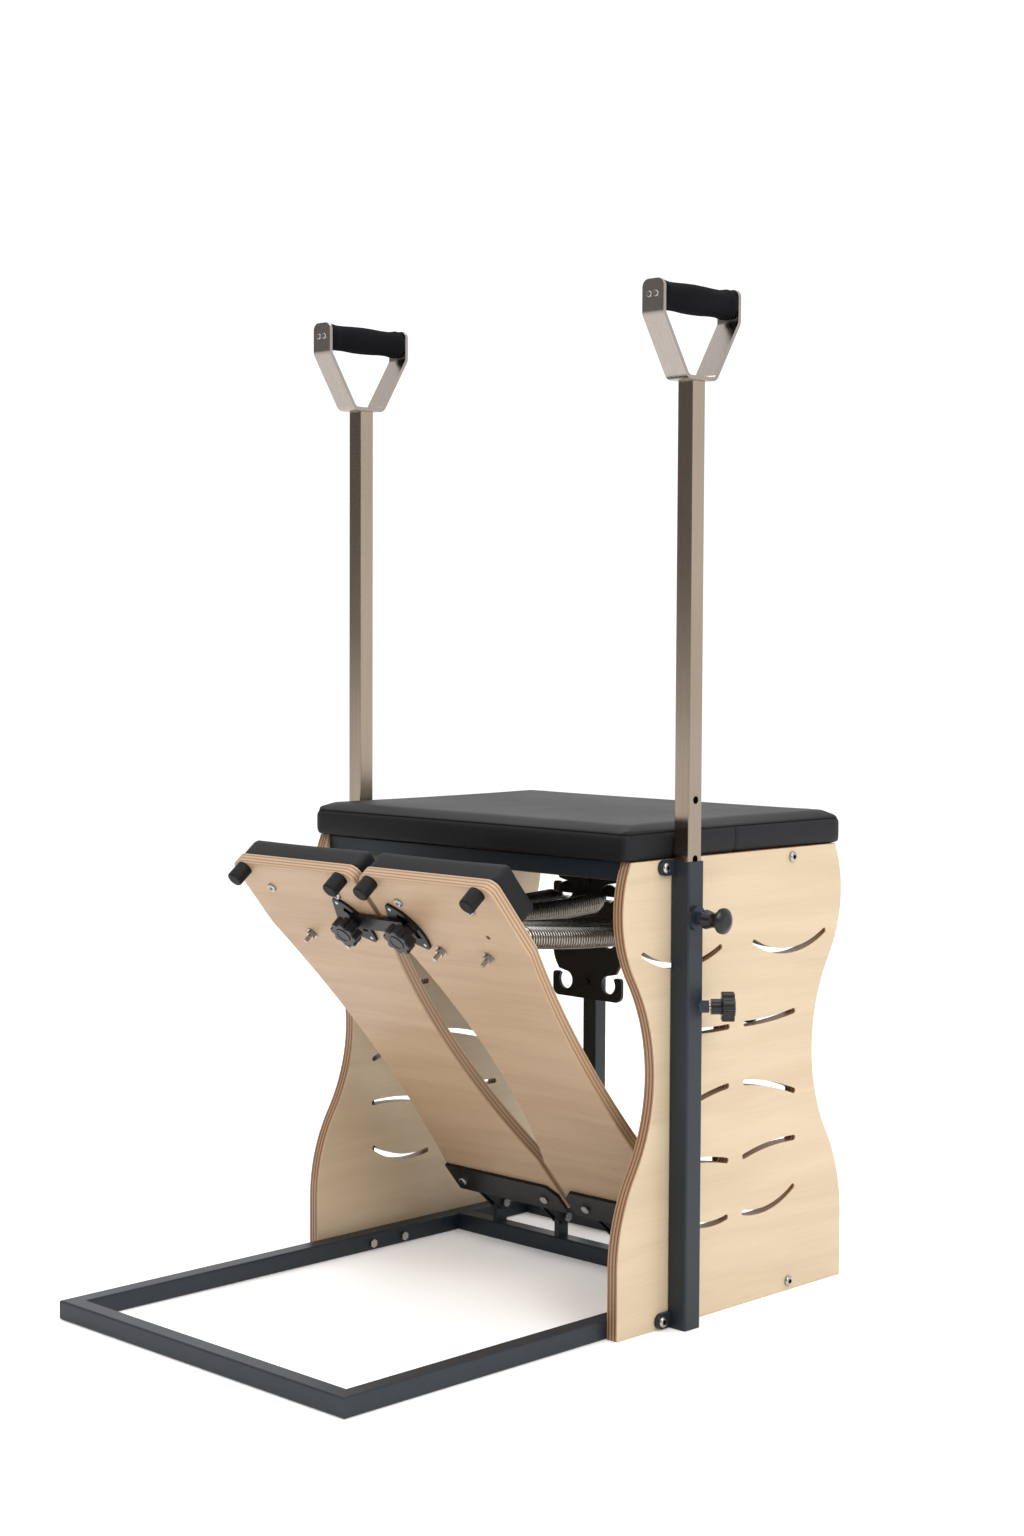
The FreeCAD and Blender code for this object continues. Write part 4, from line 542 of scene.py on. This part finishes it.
@dataclass(frozen=True)
class CushionMaker:
    """Sews and stuffs a boxed cushion: a rounded block swollen by cloth under pressure, with a sewn edge."""

    voxel: float = 0.006
    pressure: float = 4.0
    cap: float = 0.008
    last_frame: int = 20
    seam_width: float = 0.0026
    seam_depth: float = 0.0014
    corner_steps: int = 6
    top_steps: int = 4
    foot_steps: int = 3
    draw_power: int = 6

    def block(self, low: Vector, high: Vector, corner: float, top_round: float,
              foot_round: float) -> bmesh.types.BMesh:
        """A block with round upright corners, a soft top edge and a tighter bottom edge."""
        bm = bmesh.new()
        size = high - low
        place = Matrix.Translation((low + high) / 2) @ Matrix.Diagonal((*size, 1.0))
        bmesh.ops.create_cube(bm, size=1.0, matrix=place)
        middle_z = (low.z + high.z) / 2
        upright = [e for e in bm.edges if abs(e.verts[0].co.z - e.verts[1].co.z) > size.z / 2]
        bmesh.ops.bevel(bm, geom=upright, offset=corner, offset_type="OFFSET", affect="EDGES",
                        segments=self.corner_steps, profile=0.5, material=-1)
        for upper, radius, steps in ((True, top_round, self.top_steps),
                                     (False, foot_round, self.foot_steps)):
            rim = [e for e in bm.edges if all((v.co.z > middle_z) == upper for v in e.verts)]
            bmesh.ops.bevel(bm, geom=rim, offset=radius, offset_type="OFFSET", affect="EDGES",
                            segments=steps,
                            profile=0.5, material=-1)
        return bm

    def remesh(self, piece: bpy.types.Object) -> None:
        """Gives the piece an even skin of small squares."""
        step = piece.modifiers.new("even skin", "REMESH")
        step.mode = "VOXEL"
        step.voxel_size = self.voxel
        self.apply(piece)

    def apply(self, piece: bpy.types.Object) -> None:
        """Puts the piece's modifiers into its mesh."""
        graph = bpy.context.evaluated_depsgraph_get()
        mesh = bpy.data.meshes.new_from_object(piece.evaluated_get(graph))
        old = piece.data
        piece.modifiers.clear()
        piece.data = mesh
        bpy.data.meshes.remove(old)

    def swell(self, piece: bpy.types.Object, held: Callable[[Vector], bool]) -> None:
        """Blows the skin up with cloth under pressure, held where it is sewn or rests on its board.

        Args:
            piece: the cushion.
            held: whether a point is held.
        """
        rest = [v.co.copy() for v in piece.data.vertices]
        group = piece.vertex_groups.new(name="held")
        group.add([index for index, point in enumerate(rest) if held(point)], 1.0, "REPLACE")
        cloth = piece.modifiers.new("stuffing", "CLOTH")
        settings = cloth.settings
        settings.vertex_group_mass = group.name
        settings.use_pressure = True
        settings.uniform_pressure_force = self.pressure
        settings.effector_weights.gravity = 0.0
        cloth.point_cache.frame_start = 1
        cloth.point_cache.frame_end = self.last_frame
        for step in range(1, self.last_frame + 1):
            bpy.context.scene.frame_set(step)
        graph = bpy.context.evaluated_depsgraph_get()
        swollen = [v.co.copy() for v in piece.evaluated_get(graph).data.vertices]
        piece.modifiers.clear()
        piece.vertex_groups.clear()
        bpy.context.scene.frame_set(1)
        for vertex, before, after in zip(piece.data.vertices, rest, swollen):
            move = after - before
            if move.length > self.cap:
                move = move.normalized() * self.cap
            vertex.co = before + move

    def draw_in(self, piece: bpy.types.Object, low: Vector, high: Vector, depth: float) -> None:
        """Pulls the four sides in between their corners, most in the middle of each."""
        middle = (low + high) / 2
        half = (high - low) / 2
        for vertex in piece.data.vertices:
            across = (vertex.co.x - middle.x) / half.x
            along = (vertex.co.y - middle.y) / half.y
            side_share = math.copysign(abs(across) ** self.draw_power, across)
            end_share = math.copysign(abs(along) ** self.draw_power, along)
            vertex.co.x -= depth * side_share * max(1.0 - along * along, 0.0)
            vertex.co.y -= depth * end_share * max(1.0 - across * across, 0.0)

    def sew(self, piece: bpy.types.Object, seam_height: float,
            joins: Sequence[Callable[[Vector], float]]) -> None:
        """Draws the skin in along the sewn top edge and the upright joins.

        Args:
            piece: the cushion.
            seam_height: the height of the sewn edge.
            joins: for each upright join, the distance of a point from it.
        """
        skin = [(vertex.co.copy(), vertex.normal.copy()) for vertex in piece.data.vertices]
        sewn: List[float] = []
        for point, normal in skin:
            near = [abs(point.z - seam_height)] + [join(point) for join in joins]
            pull = max(math.exp(-((gap / self.seam_width) ** 2)) for gap in near)
            sewn.extend(point - normal * (self.seam_depth * pull))
        piece.data.vertices.foreach_set("co", sewn)
        piece.data.update()

    def smooth(self, piece: bpy.types.Object) -> None:
        """One subdivision, put into the mesh, with smooth shading."""
        step = piece.modifiers.new("smooth skin", "SUBSURF")
        step.levels = 1
        step.render_levels = 1
        self.apply(piece)
        piece.data.polygons.foreach_set("use_smooth", [True] * len(piece.data.polygons))


@dataclass
class Seat:
    """The seat: a boxed vinyl cushion on a plywood board."""

    shrink: float = 0.0022
    crown_reach: float = 0.032
    crown_rise: float = 0.0075
    back_reach: float = 0.005
    corner: float = 0.011
    top_round: float = 0.0050
    foot_round: float = 0.005
    seam_rise: float = 0.0345
    seam_hold: float = 0.0032
    side_draw: float = 0.0045
    join_y: float = SEAT_JOIN_Y
    join_reach: float = 0.02
    maker: CushionMaker = CushionMaker(cap=0.006, pressure=4.0)

    def build(self) -> None:
        """Makes the cushion and dresses the board."""
        dress(["seat_board"], Finishes.seat_ply)
        low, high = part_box("seat_cushion")
        seam = low.z + self.seam_rise
        inner_low = low + Vector((self.shrink, self.shrink, 0))
        inner_high = Vector((high.x - self.shrink, high.y + self.back_reach, seam + self.top_round))
        bm = self.maker.block(inner_low, inner_high, self.corner, self.top_round, self.foot_round)
        cushion = finish_piece("seat_cushion_skin", bm, Finishes.seat_vinyl)
        self.maker.remesh(cushion)
        self.maker.draw_in(cushion, inner_low, inner_high, self.side_draw)
        foot = low.z + self.foot_round
        self.maker.swell(cushion, lambda point: point.z < foot or abs(point.z - seam) < self.seam_hold)
        self.raise_crown(cushion, inner_low, inner_high, high.z)
        self.maker.smooth(cushion)
        self.maker.sew(cushion, seam, [lambda point: self.join_gap(point, seam)])
        coat(cushion.data, Finishes.seat_vinyl)
        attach(cushion, "frame")
        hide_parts("seat_cushion")
        log.info("seat cushion: %d faces", len(cushion.data.polygons))

    def join_gap(self, point: Vector, seam: float) -> float:
        """How far a point is from the upright join on the right side, or far away above the sewn edge."""
        if point.z >= seam:
            return 1.0
        return math.hypot(max(self.join_reach - point.x, 0.0), point.y - self.join_y)

    def raise_crown(self, cushion: bpy.types.Object, low: Vector, high: Vector, top: float) -> None:
        """Fills the top up to its crown, which falls away towards the sewn edge."""
        middle = (low + high) / 2
        half = (high - low) / 2
        for vertex in cushion.data.vertices:
            point = vertex.co
            lift = min(max((point.z - (high.z - self.top_round)) / self.top_round, 0.0), 1.0)
            edge = max(min(half.x - abs(point.x - middle.x), half.y - abs(point.y - middle.y)), 0.0)
            rise = 1.0 - math.exp(-edge / self.crown_reach)
            vertex.co.z = min(point.z + self.crown_rise * lift * rise, top)


@dataclass
class Springs:
    """Four close-wound springs with coned ends, two to a pedal."""

    turns: int = 92
    steps: int = 16
    wire: float = 0.00200
    wire_sides: int = 8
    radius: float = 0.01300
    end_radius: float = 0.0052
    cone: float = 0.017
    sag: float = 0.010
    length: float = 0.4355
    rear_y: float = 0.36950
    rear_z: float = 0.49581
    way_y: float = -0.99979
    way_z: float = 0.02050
    places: Tuple[float, float] = SPRING_PLACES

    def coil(self, x: float, bm: bmesh.types.BMesh) -> None:
        """Winds one spring into the mesh by a full screw, then cones and lays it."""
        wound = bmesh.new()
        place = Matrix.Translation((self.radius, 0, 0)) @ Matrix.Rotation(math.pi / 2, 4, "X")
        section = bmesh.ops.create_circle(wound, segments=self.wire_sides, radius=self.wire, cap_ends=False,
                                          matrix=place)
        count = self.turns * self.steps
        loop = section["verts"] + list({e for v in section["verts"] for e in v.link_edges})
        bmesh.ops.spin(wound, geom=loop, cent=(0, 0, 0), axis=(0, 0, 1), dvec=(0, 0, self.length / count),
                       angle=2 * math.pi * self.turns, steps=count, use_merge=False)
        way = Vector((0, self.way_y, self.way_z))
        side = Vector((1, 0, 0))
        lift = way.cross(side)
        start = Vector((x, self.rear_y, self.rear_z))
        for vertex in wound.verts:
            run = min(max(vertex.co.z, 0.0), self.length)
            near = min(min(run, self.length - run) / self.cone, 1.0)
            draw_in = (self.radius - self.end_radius) * (1.0 - near)
            flat = Vector((vertex.co.x, vertex.co.y))
            flat = flat.normalized() * max(flat.length - draw_in, self.wire / 4)
            share = run / self.length
            drop = self.sag * 4.0 * share * (1.0 - share)
            vertex.co = start + way * vertex.co.z + side * flat.x + lift * flat.y - Vector((0, 0, drop))
        bmesh.ops.holes_fill(wound, edges=[e for e in wound.edges if e.is_boundary], sides=self.wire_sides)
        bmesh.ops.recalc_face_normals(wound, faces=wound.faces)
        absorb(bm, wound)

    def build(self) -> None:
        """Winds each pedal's pair, laid between its rear hooks and its front end."""
        for side in Side:
            bm = bmesh.new()
            for x in self.places:
                self.coil(side.value * x, bm)
            pair = finish_piece(side.node("close_wound_springs"), bm, Finishes.spring_wire,
                                smooth_below=80.0)
            middle_x = side.value * sum(self.places) / 2
            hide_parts(side.node("spring_coils"))
            side.node("spring_rear")
            side.node("spring_coil")
            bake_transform(pair)
            log.info("wound %s", pair.name)
        dress(both("rear_hooks", "front_hooks"), Finishes.spring_wire)


@dataclass
class Handles:
    """The poles, their bent brackets and the foam grips."""

    segments: int = 40
    core: float = 0.0115
    middle_radius: float = 0.0190
    end_outline: Tuple[Tuple[float, float], ...] = (
        (0.0005, 0.0125), (0.0, 0.0165), (0.0014, 0.0190), (0.006, 0.0196),
        (0.012, 0.0186), (0.020, 0.0176), (0.034, 0.0177), (0.052, 0.0186))
    longest_edge: float = 0.012
    ripple: float = 0.0004
    ripple_scale: Tuple[float, float, float] = (60.0, 35.0, 60.0)
    ripple_start: float = 0.002

    def grip_outline(self, half: float) -> List[Tuple[float, float]]:
        """The foam's outline from end to end: distance along the grip, then radius."""
        right = [(half - inset, radius) for inset, radius in self.end_outline]
        return right + [(0.0, self.middle_radius)] + [(-along, radius) for along, radius in reversed(right)]

    def grip(self, side: Side) -> None:
        """Spins one foam grip."""
        low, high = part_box(side.node("grip"))
        middle = (low + high) / 2
        bm = bmesh.new()
        outline = self.grip_outline((high.y - low.y) / 2)
        points = [bm.verts.new((self.core, outline[0][0], 0.0))]
        points += [bm.verts.new((radius, along, 0.0)) for along, radius in outline]
        points.append(bm.verts.new((self.core, outline[-1][0], 0.0)))
        edges = [bm.edges.new(pair) for pair in zip(points, points[1:] + points[:1])]
        bmesh.ops.spin(bm, geom=points + edges, cent=(0, 0, 0), axis=(0, 1, 0), angle=2 * math.pi,
                       steps=self.segments, use_merge=True)
        bmesh.ops.remove_doubles(bm, verts=bm.verts, dist=1e-6)
        long_edges = [e for e in bm.edges if e.calc_length() > self.longest_edge]
        bmesh.ops.subdivide_edges(bm, edges=long_edges, cuts=2, use_grid_fill=True)
        bmesh.ops.recalc_face_normals(bm, faces=bm.faces)
        for vertex in bm.verts:
            if math.hypot(vertex.co.x, vertex.co.z) > self.core + self.ripple_start:
                swell = noise.noise(vertex.co * Vector(self.ripple_scale))
                radial = Vector((vertex.co.x, 0.0, vertex.co.z)).normalized()
                vertex.co += radial * (self.ripple * swell)
        bmesh.ops.translate(bm, verts=bm.verts, vec=middle)
        grip = finish_piece(side.node("foam_grip"), bm, Finishes.foam_skin, smooth_below=60.0)
        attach(grip, side.node("handle"))
        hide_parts(side.node("grip"))

    def build(self) -> None:
        """Dresses the steel and makes both grips."""
        dress(both("pole"), Finishes.pole_steel)
        dress(both("handle_bracket"), Finishes.bracket_steel)
        dress(both("grip_core"), Finishes.bolt_zinc)
        for side in Side:
            self.grip(side)


@dataclass
class Pedals:
    """Two plywood pedals with vinyl pads, rubber bumpers, hinge plates and eye bolts."""

    tilt: float = PEDAL_TILT
    pivot_y: float = PIVOT_Y
    pivot_z: float = PIVOT_Z
    board_top: float = 0.0066
    pad_inner: float = 0.008
    pad_outer: float = 0.244
    pad_high: float = 0.690
    pad_low: float = 0.611
    pad_height: float = 0.0340
    shrink: float = 0.0012
    corner: float = 0.006
    top_round: float = 0.0045
    foot_round: float = 0.0015
    side_draw: float = 0.0012
    seam_hold: float = 0.0022
    maker: CushionMaker = CushionMaker(voxel=0.004, cap=0.005, seam_width=0.0022, seam_depth=0.0006)
    stud_left: float = -0.04597
    stud_right: float = 0.05603
    stud_reach: float = 0.61054
    knob_front: float = -0.0458
    cap: Dish = Dish(radius=0.0118, height=0.0014, rim=0.0022, sink=0.0008, bite=0.0004)
    socket: Dish = Dish(radius=0.0030, height=0.0006, rim=0.0005, sink=0.0003, bite=0.0003, sides=6)
    bolt_places: Tuple[float, float] = (0.059, 0.190)
    bolt_reach: float = 0.650
    bolt_face: float = -0.0149
    lock_left: float = -0.092
    lock_right: float = 0.010
    lock_reach: float = 0.591
    slot_radius: float = 0.050
    slot_half: float = 0.0050
    slot_middle: float = 23.0
    slot_spread: float = 28.0
    # The painted-shade strip behind each lock plate's arc slot: its drop, thickness and steps.
    liner_drop: float = 0.0117
    liner_thickness: float = 0.0002
    liner_steps: int = 14

    def raised(self) -> Matrix:
        """From the flat pedal, with the pivot as origin, to its raised place."""
        pivot = Matrix.Translation((0, self.pivot_y, self.pivot_z))
        return pivot @ Matrix.Rotation(-math.radians(self.tilt), 4, "X")

    def under(self, x: float, reach: float, drop: float) -> Matrix:
        """A place under the raised board, facing away from it.

        Args:
            x: across the chair.
            reach: along the board from the pivot.
            drop: the height on the flat pedal, below the pivot when negative.

        Returns:
            The place, with its Z pointing down out of the board.
        """
        return self.raised() @ Matrix.Translation((x, -reach, drop)) @ Matrix.Rotation(math.pi, 4, "X")

    def knob_cap(self, side: Side) -> None:
        """Sets a dished cap on the front of one lock knob."""
        bm = bmesh.new()
        x = self.stud_left if side is Side.LEFT else self.stud_right
        self.cap.add(bm, self.under(x, self.stud_reach, self.knob_front))
        cap = finish_piece(side.node("lock_knob_cap"), bm, Finishes.knob_skin, smooth_below=30.0)
        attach(cap, side.node("lock"))

    def bolt_sockets(self, side: Side) -> None:
        """Puts a hexagon socket on each pad bolt, coloured near black as painted shade."""
        bm = bmesh.new()
        for x in self.bolt_places:
            self.socket.add(bm, self.under(side.value * x, self.bolt_reach, self.bolt_face))
        sockets = finish_piece(side.node("pad_bolt_sockets"), bm, Finishes.recess_shade, smooth_below=20.0)
        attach(sockets, side.node("pedal"))

    def slot_liner(self, side: Side) -> None:
        """Lays a black strip on the board behind one lock plate's arc slot: painted shade, seen through the
        slot.
        """
        bm = bmesh.new()
        start = math.radians(self.slot_middle - self.slot_spread)
        reaches = (self.slot_radius - self.slot_half, self.slot_radius + self.slot_half)
        ends = [bm.verts.new((reach * math.cos(start), -reach * math.sin(start), 0.0)) for reach in reaches]
        edge = bm.edges.new(ends)
        bmesh.ops.spin(bm, geom=ends + [edge], cent=(0, 0, 0), axis=(0, 0, -1),
                       angle=math.radians(2 * self.slot_spread), steps=self.liner_steps, use_merge=False)
        bmesh.ops.recalc_face_normals(bm, faces=bm.faces)
        bmesh.ops.solidify(bm, geom=bm.faces[:], thickness=self.liner_thickness)
        bmesh.ops.recalc_face_normals(bm, faces=bm.faces)
        x = self.lock_left if side is Side.LEFT else self.lock_right
        place = self.raised() @ Matrix.Translation((x, -self.lock_reach, -self.liner_drop))
        bmesh.ops.transform(bm, matrix=place, verts=bm.verts)
        shade_sheet = finish_piece(side.node("lock_slot_liner"), bm, Finishes.black_coat, smooth_below=30.0)
        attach(shade_sheet, side.node("pedal"))

    def pad(self, side: Side) -> None:
        """Makes one foot pad, flat, and lays it on its raised board."""
        xs = sorted((side.value * self.pad_inner, side.value * self.pad_outer))
        low = Vector((xs[0] + self.shrink, -self.pad_high + self.shrink, self.board_top))
        pad_top = self.board_top + self.pad_height
        high = Vector((xs[1] - self.shrink, -self.pad_low - self.shrink, pad_top - self.shrink))
        bm = self.maker.block(low, high, self.corner, self.top_round, self.foot_round)
        pad = finish_piece(side.node("foot_pad"), bm, Finishes.pad_vinyl)
        self.maker.remesh(pad)
        self.maker.draw_in(pad, low, high, self.side_draw)
        foot = self.board_top + self.foot_round
        seam = high.z - self.top_round
        self.maker.swell(pad, lambda point: point.z < foot or abs(point.z - seam) < self.seam_hold)
        self.maker.smooth(pad)
        self.maker.sew(pad, seam, [])
        pad.data.transform(self.raised())
        coat(pad.data, Finishes.pad_vinyl)
        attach(pad, side.node("pedal"))
        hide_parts(side.node("pedal_pad"))
        log.info("%s: %d faces", pad.name, len(pad.data.polygons))

    def build(self) -> None:
        """Makes the pads and dresses the rest."""
        dress(both("pedal_board"), Finishes.pedal_ply)
        dress(both("hinge_plate", "lock_plate") + ["lock_bar"], Finishes.black_coat)
        dress(both("pedal_bolts", "eye_bolts"), Finishes.bolt_zinc)
        dress(both("bumpers"), Finishes.rubber_skin)
        dress(both("lock_knob"), Finishes.knob_skin)
        for side in Side:
            self.pad(side)
            self.knob_cap(side)
            self.bolt_sockets(side)
            # Painted shade: a black strip behind each lock plate's arc slot.
            self.slot_liner(side)


@dataclass
class Body:
    """The floor frame, side panels, sockets, spring posts and their fittings."""

    recess: Dish = Dish(radius=0.0034, height=0.0006, rim=0.0005, sink=0.0003, bite=0.0003, sides=6)
    cap: Dish = Dish(radius=0.0108, height=0.0014, rim=0.0020, sink=0.0008, bite=0.0004)
    keeper_radius: float = 0.0128
    keeper_depth: float = 0.0044
    keeper_foot: float = 0.5015
    keeper_sides: int = 32
    keeper_edge: float = 0.0006
    pocket_y: float = 0.3870
    pocket_z: float = 0.5065
    pocket_places: Tuple[float, float] = SPRING_PLACES
    clamp_x: float = 0.35428
    clamp_y: float = 0.14278
    clamp_z: float = 0.4145
    bolt_face: float = 0.2960
    tab: float = 0.005
    head: float = 0.0045
    tab_places: Tuple[float, float] = (0.069, 0.130)
    tab_heights: Tuple[float, float] = (0.011, 0.593)
    rear_y: float = 0.3335
    rear_heights: Tuple[float, float] = (0.0125, 0.5905)

    def bolt_heads(self) -> List[Vector]:
        """The middle of each panel bolt's head face on the right side."""
        tab_x = self.bolt_face + self.tab + self.head
        heads = [Vector((tab_x, y, z)) for y in self.tab_places for z in self.tab_heights]
        return heads + [Vector((self.bolt_face + self.head, self.rear_y, z)) for z in self.rear_heights]

    def recesses(self) -> None:
        """Puts a hexagon recess on each panel bolt, coloured near black as painted shade."""
        bm = bmesh.new()
        for head in self.bolt_heads():
            for sign in (-1, 1):
                face = Matrix.Translation((sign * head.x, head.y, head.z))
                self.recess.add(bm, face @ Matrix.Rotation(sign * math.pi / 2, 4, "Y"))
        recesses = finish_piece("bolt_recesses", bm, Finishes.recess_shade, smooth_below=20.0)
        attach(recesses, "frame")

    def keepers(self) -> None:
        """Puts a rubber keeper over each spring's hook, in the upper part of its pocket."""
        bm = bmesh.new()
        for x in self.pocket_places:
            for sign in (-1, 1):
                keeper = bmesh.new()
                pocket = Matrix.Translation((sign * x, self.pocket_y, self.pocket_z))
                bmesh.ops.create_cone(keeper, cap_ends=True, segments=self.keeper_sides,
                                      radius1=self.keeper_radius,
                                      radius2=self.keeper_radius, depth=self.keeper_depth,
                                      matrix=pocket @ Matrix.Rotation(math.pi / 2, 4, "X"))
                whole = keeper.verts[:] + keeper.edges[:] + keeper.faces[:]
                cut = bmesh.ops.bisect_plane(keeper, geom=whole, plane_co=(0, 0, self.keeper_foot),
                                             plane_no=(0, 0, -1), clear_outer=True)
                rim = [part for part in cut["geom_cut"] if isinstance(part, bmesh.types.BMEdge)]
                bmesh.ops.edgeloop_fill(keeper, edges=rim)
                bmesh.ops.bevel(keeper, geom=keeper.edges[:], offset=self.keeper_edge, offset_type="OFFSET",
                                affect="EDGES", segments=2, profile=0.5, material=-1)
                bmesh.ops.recalc_face_normals(keeper, faces=keeper.faces)
                absorb(bm, keeper)
        keepers = finish_piece("hook_keepers", bm, Finishes.rubber_skin, smooth_below=50.0)
        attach(keepers, "frame")

    def clamp_caps(self) -> None:
        """Sets a dished cap on the front of each clamp knob."""
        for side in Side:
            bm = bmesh.new()
            way = Vector((side.value, 1.0, 0.0)).normalized()
            front = Matrix.Translation((side.value * self.clamp_x, self.clamp_y, self.clamp_z))
            self.cap.add(bm, front @ way.to_track_quat("Z", "Y").to_matrix().to_4x4())
            cap = finish_piece(side.node("clamp_knob_cap"), bm, Finishes.knob_skin, smooth_below=30.0)
            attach(cap, side.node("clamp"))

    def build(self) -> None:
        """Dresses the frame and adds the bolt recesses, hook keepers and knob caps."""
        tubes = ["front_bar", "pivot_crossbar", "rear_bar", "upper_front_bar", "upper_rear_bar",
                 "tree_posts"]
        dress(tubes + both("rail", "upper_rail", "socket"), Finishes.frame_coat)
        dress(both("panel"), Finishes.panel_ply)
        dress(both("pin_housing"), Finishes.frame_coat)
        dress(both("hook_plate") + ["hook_plate_screws"], Finishes.black_coat)
        dress(["panel_bolts", "pivot_bolts"], Finishes.bolt_zinc)
        dress(both("clamp_screw"), Finishes.bolt_zinc)
        dress(both("pull_pin", "clamp_knob"), Finishes.knob_skin)
        self.recesses()
        self.keepers()
        self.clamp_caps()


@dataclass(frozen=True)
class Lamp:
    """One soft square lamp that points at a target."""

    name: str
    place: Tuple[float, float, float]
    target: Tuple[float, float, float]
    size: float
    power: float

    def hang(self) -> None:
        """Hangs the lamp in the scene."""
        data = bpy.data.lights.new(self.name, "AREA")
        data.shape = "SQUARE"
        data.size = self.size
        data.energy = self.power
        lamp = bpy.data.objects.new(self.name, data)
        lamp.location = self.place
        lamp.rotation_euler = (Vector(self.target) - Vector(self.place)).to_track_quat("-Z", "Y").to_euler()
        bpy.context.scene.collection.objects.link(lamp)


@dataclass
class Studio:
    """A pale floor, soft light and the photograph's camera."""

    eye: Tuple[float, float, float] = (2.2717, -2.2060, 0.8871)
    yaw: float = 44.616
    pitch: float = 3.205
    roll: float = 0.256
    focal_pixels: float = 2384.7
    image_height: float = 1536.0
    sensor: float = 36.0
    floor_half: float = 30.0
    floor_glow: float = 0.16
    sky_top_weight: float = 0.6
    floor_tone: Colour = (0.95, 0.95, 0.95)
    floor_drop: float = 0.0005
    lamps: Tuple[Lamp, ...] = (
        Lamp("key lamp", (3.4, -0.9, 2.9), (0.0, 0.1, 0.4), 2.2, 75.0),
        Lamp("front lamp", (-0.4, -3.2, 3.2), (0.0, -0.2, 0.2), 2.4, 22.0),
        Lamp("top lamp", (-0.4, 0.6, 3.8), (0.0, 0.1, 0.5), 2.6, 60.0),
    )
    sky_fade: Tuple[float, float, float, float] = (-0.6, 0.15, 0.16, 1.12)

    def camera(self) -> None:
        """Sets up the camera at the photograph's place, turn and lens."""
        data = bpy.data.cameras.new("photo camera")
        data.sensor_fit = "VERTICAL"
        data.sensor_height = self.sensor
        data.lens = self.focal_pixels * self.sensor / self.image_height
        data.clip_end = 100.0
        yaw, pitch, roll = (math.radians(v) for v in (self.yaw, self.pitch, self.roll))
        ahead = Vector((-math.sin(yaw) * math.cos(pitch), math.cos(yaw) * math.cos(pitch),
                        -math.sin(pitch)))
        right = Vector((math.cos(yaw), math.sin(yaw), 0.0))
        up = right.cross(ahead)
        turned_right = math.cos(roll) * right + math.sin(roll) * up
        turned_up = -math.sin(roll) * right + math.cos(roll) * up
        turn = Matrix((turned_right, turned_up, -ahead)).transposed()
        camera = bpy.data.objects.new("photo camera", data)
        camera.matrix_world = Matrix.Translation(self.eye) @ turn.to_4x4()
        bpy.context.scene.collection.objects.link(camera)
        bpy.context.scene.camera = camera

    def floor(self) -> None:
        """Lays a plain pale floor."""
        bm = bmesh.new()
        bmesh.ops.create_grid(bm, x_segments=1, y_segments=1, size=self.floor_half)
        mesh = bpy.data.meshes.new("floor")
        bm.to_mesh(mesh)
        bm.free()
        sheet = Sheet("pale floor")
        sheet.surface({"Base Color": self.floor_tone, "Roughness": 0.9, "Specular IOR Level": 0.1,
                       "Emission Color": (1.0, 1.0, 1.0), "Emission Strength": self.floor_glow})
        mesh.materials.append(sheet.material)
        floor = bpy.data.objects.new("floor", mesh)
        floor.location.z = -self.floor_drop
        bpy.context.scene.collection.objects.link(floor)

    def sky(self) -> None:
        """Lights the room white from above and behind, and dimmer from the front."""
        world = bpy.data.worlds.new("white room")
        world.use_nodes = True
        tree = world.node_tree
        way = tree.nodes.new("ShaderNodeTexCoord")
        parts = tree.nodes.new("ShaderNodeSeparateXYZ")
        back = tree.nodes.new("ShaderNodeMath")
        back.operation = "MULTIPLY_ADD"
        back.inputs[1].default_value = self.sky_top_weight
        fade = tree.nodes.new("ShaderNodeMapRange")
        fade.interpolation_type = "SMOOTHSTEP"
        for name, value in zip(("From Min", "From Max", "To Min", "To Max"), self.sky_fade):
            fade.inputs[name].default_value = value
        tree.links.new(way.outputs["Generated"], parts.inputs[0])
        tree.links.new(parts.outputs[2], back.inputs[0])
        tree.links.new(parts.outputs[1], back.inputs[2])
        tree.links.new(back.outputs[0], fade.inputs["Value"])
        tree.links.new(fade.outputs[0], tree.nodes["Background"].inputs["Strength"])
        tree.nodes["Background"].inputs["Color"].default_value = (1.0, 1.0, 1.0, 1.0)
        bpy.context.scene.world = world

    def build(self) -> None:
        """Sets camera, floor and light."""
        bpy.context.scene.view_settings.view_transform = "Standard"
        self.camera()
        self.floor()
        self.sky()
        for lamp in self.lamps:
            lamp.hang()


def main() -> None:
    """Builds the studio and the chair's sub-assemblies in order."""
    logging.basicConfig(level=logging.INFO, format="%(name)s: %(message)s")
    for part in (Studio(), Body(), Seat(), Handles(), Pedals(), Springs()):
        part.build()
        log.info("built %s", type(part).__name__)


if __name__ == "__main__":
    main()
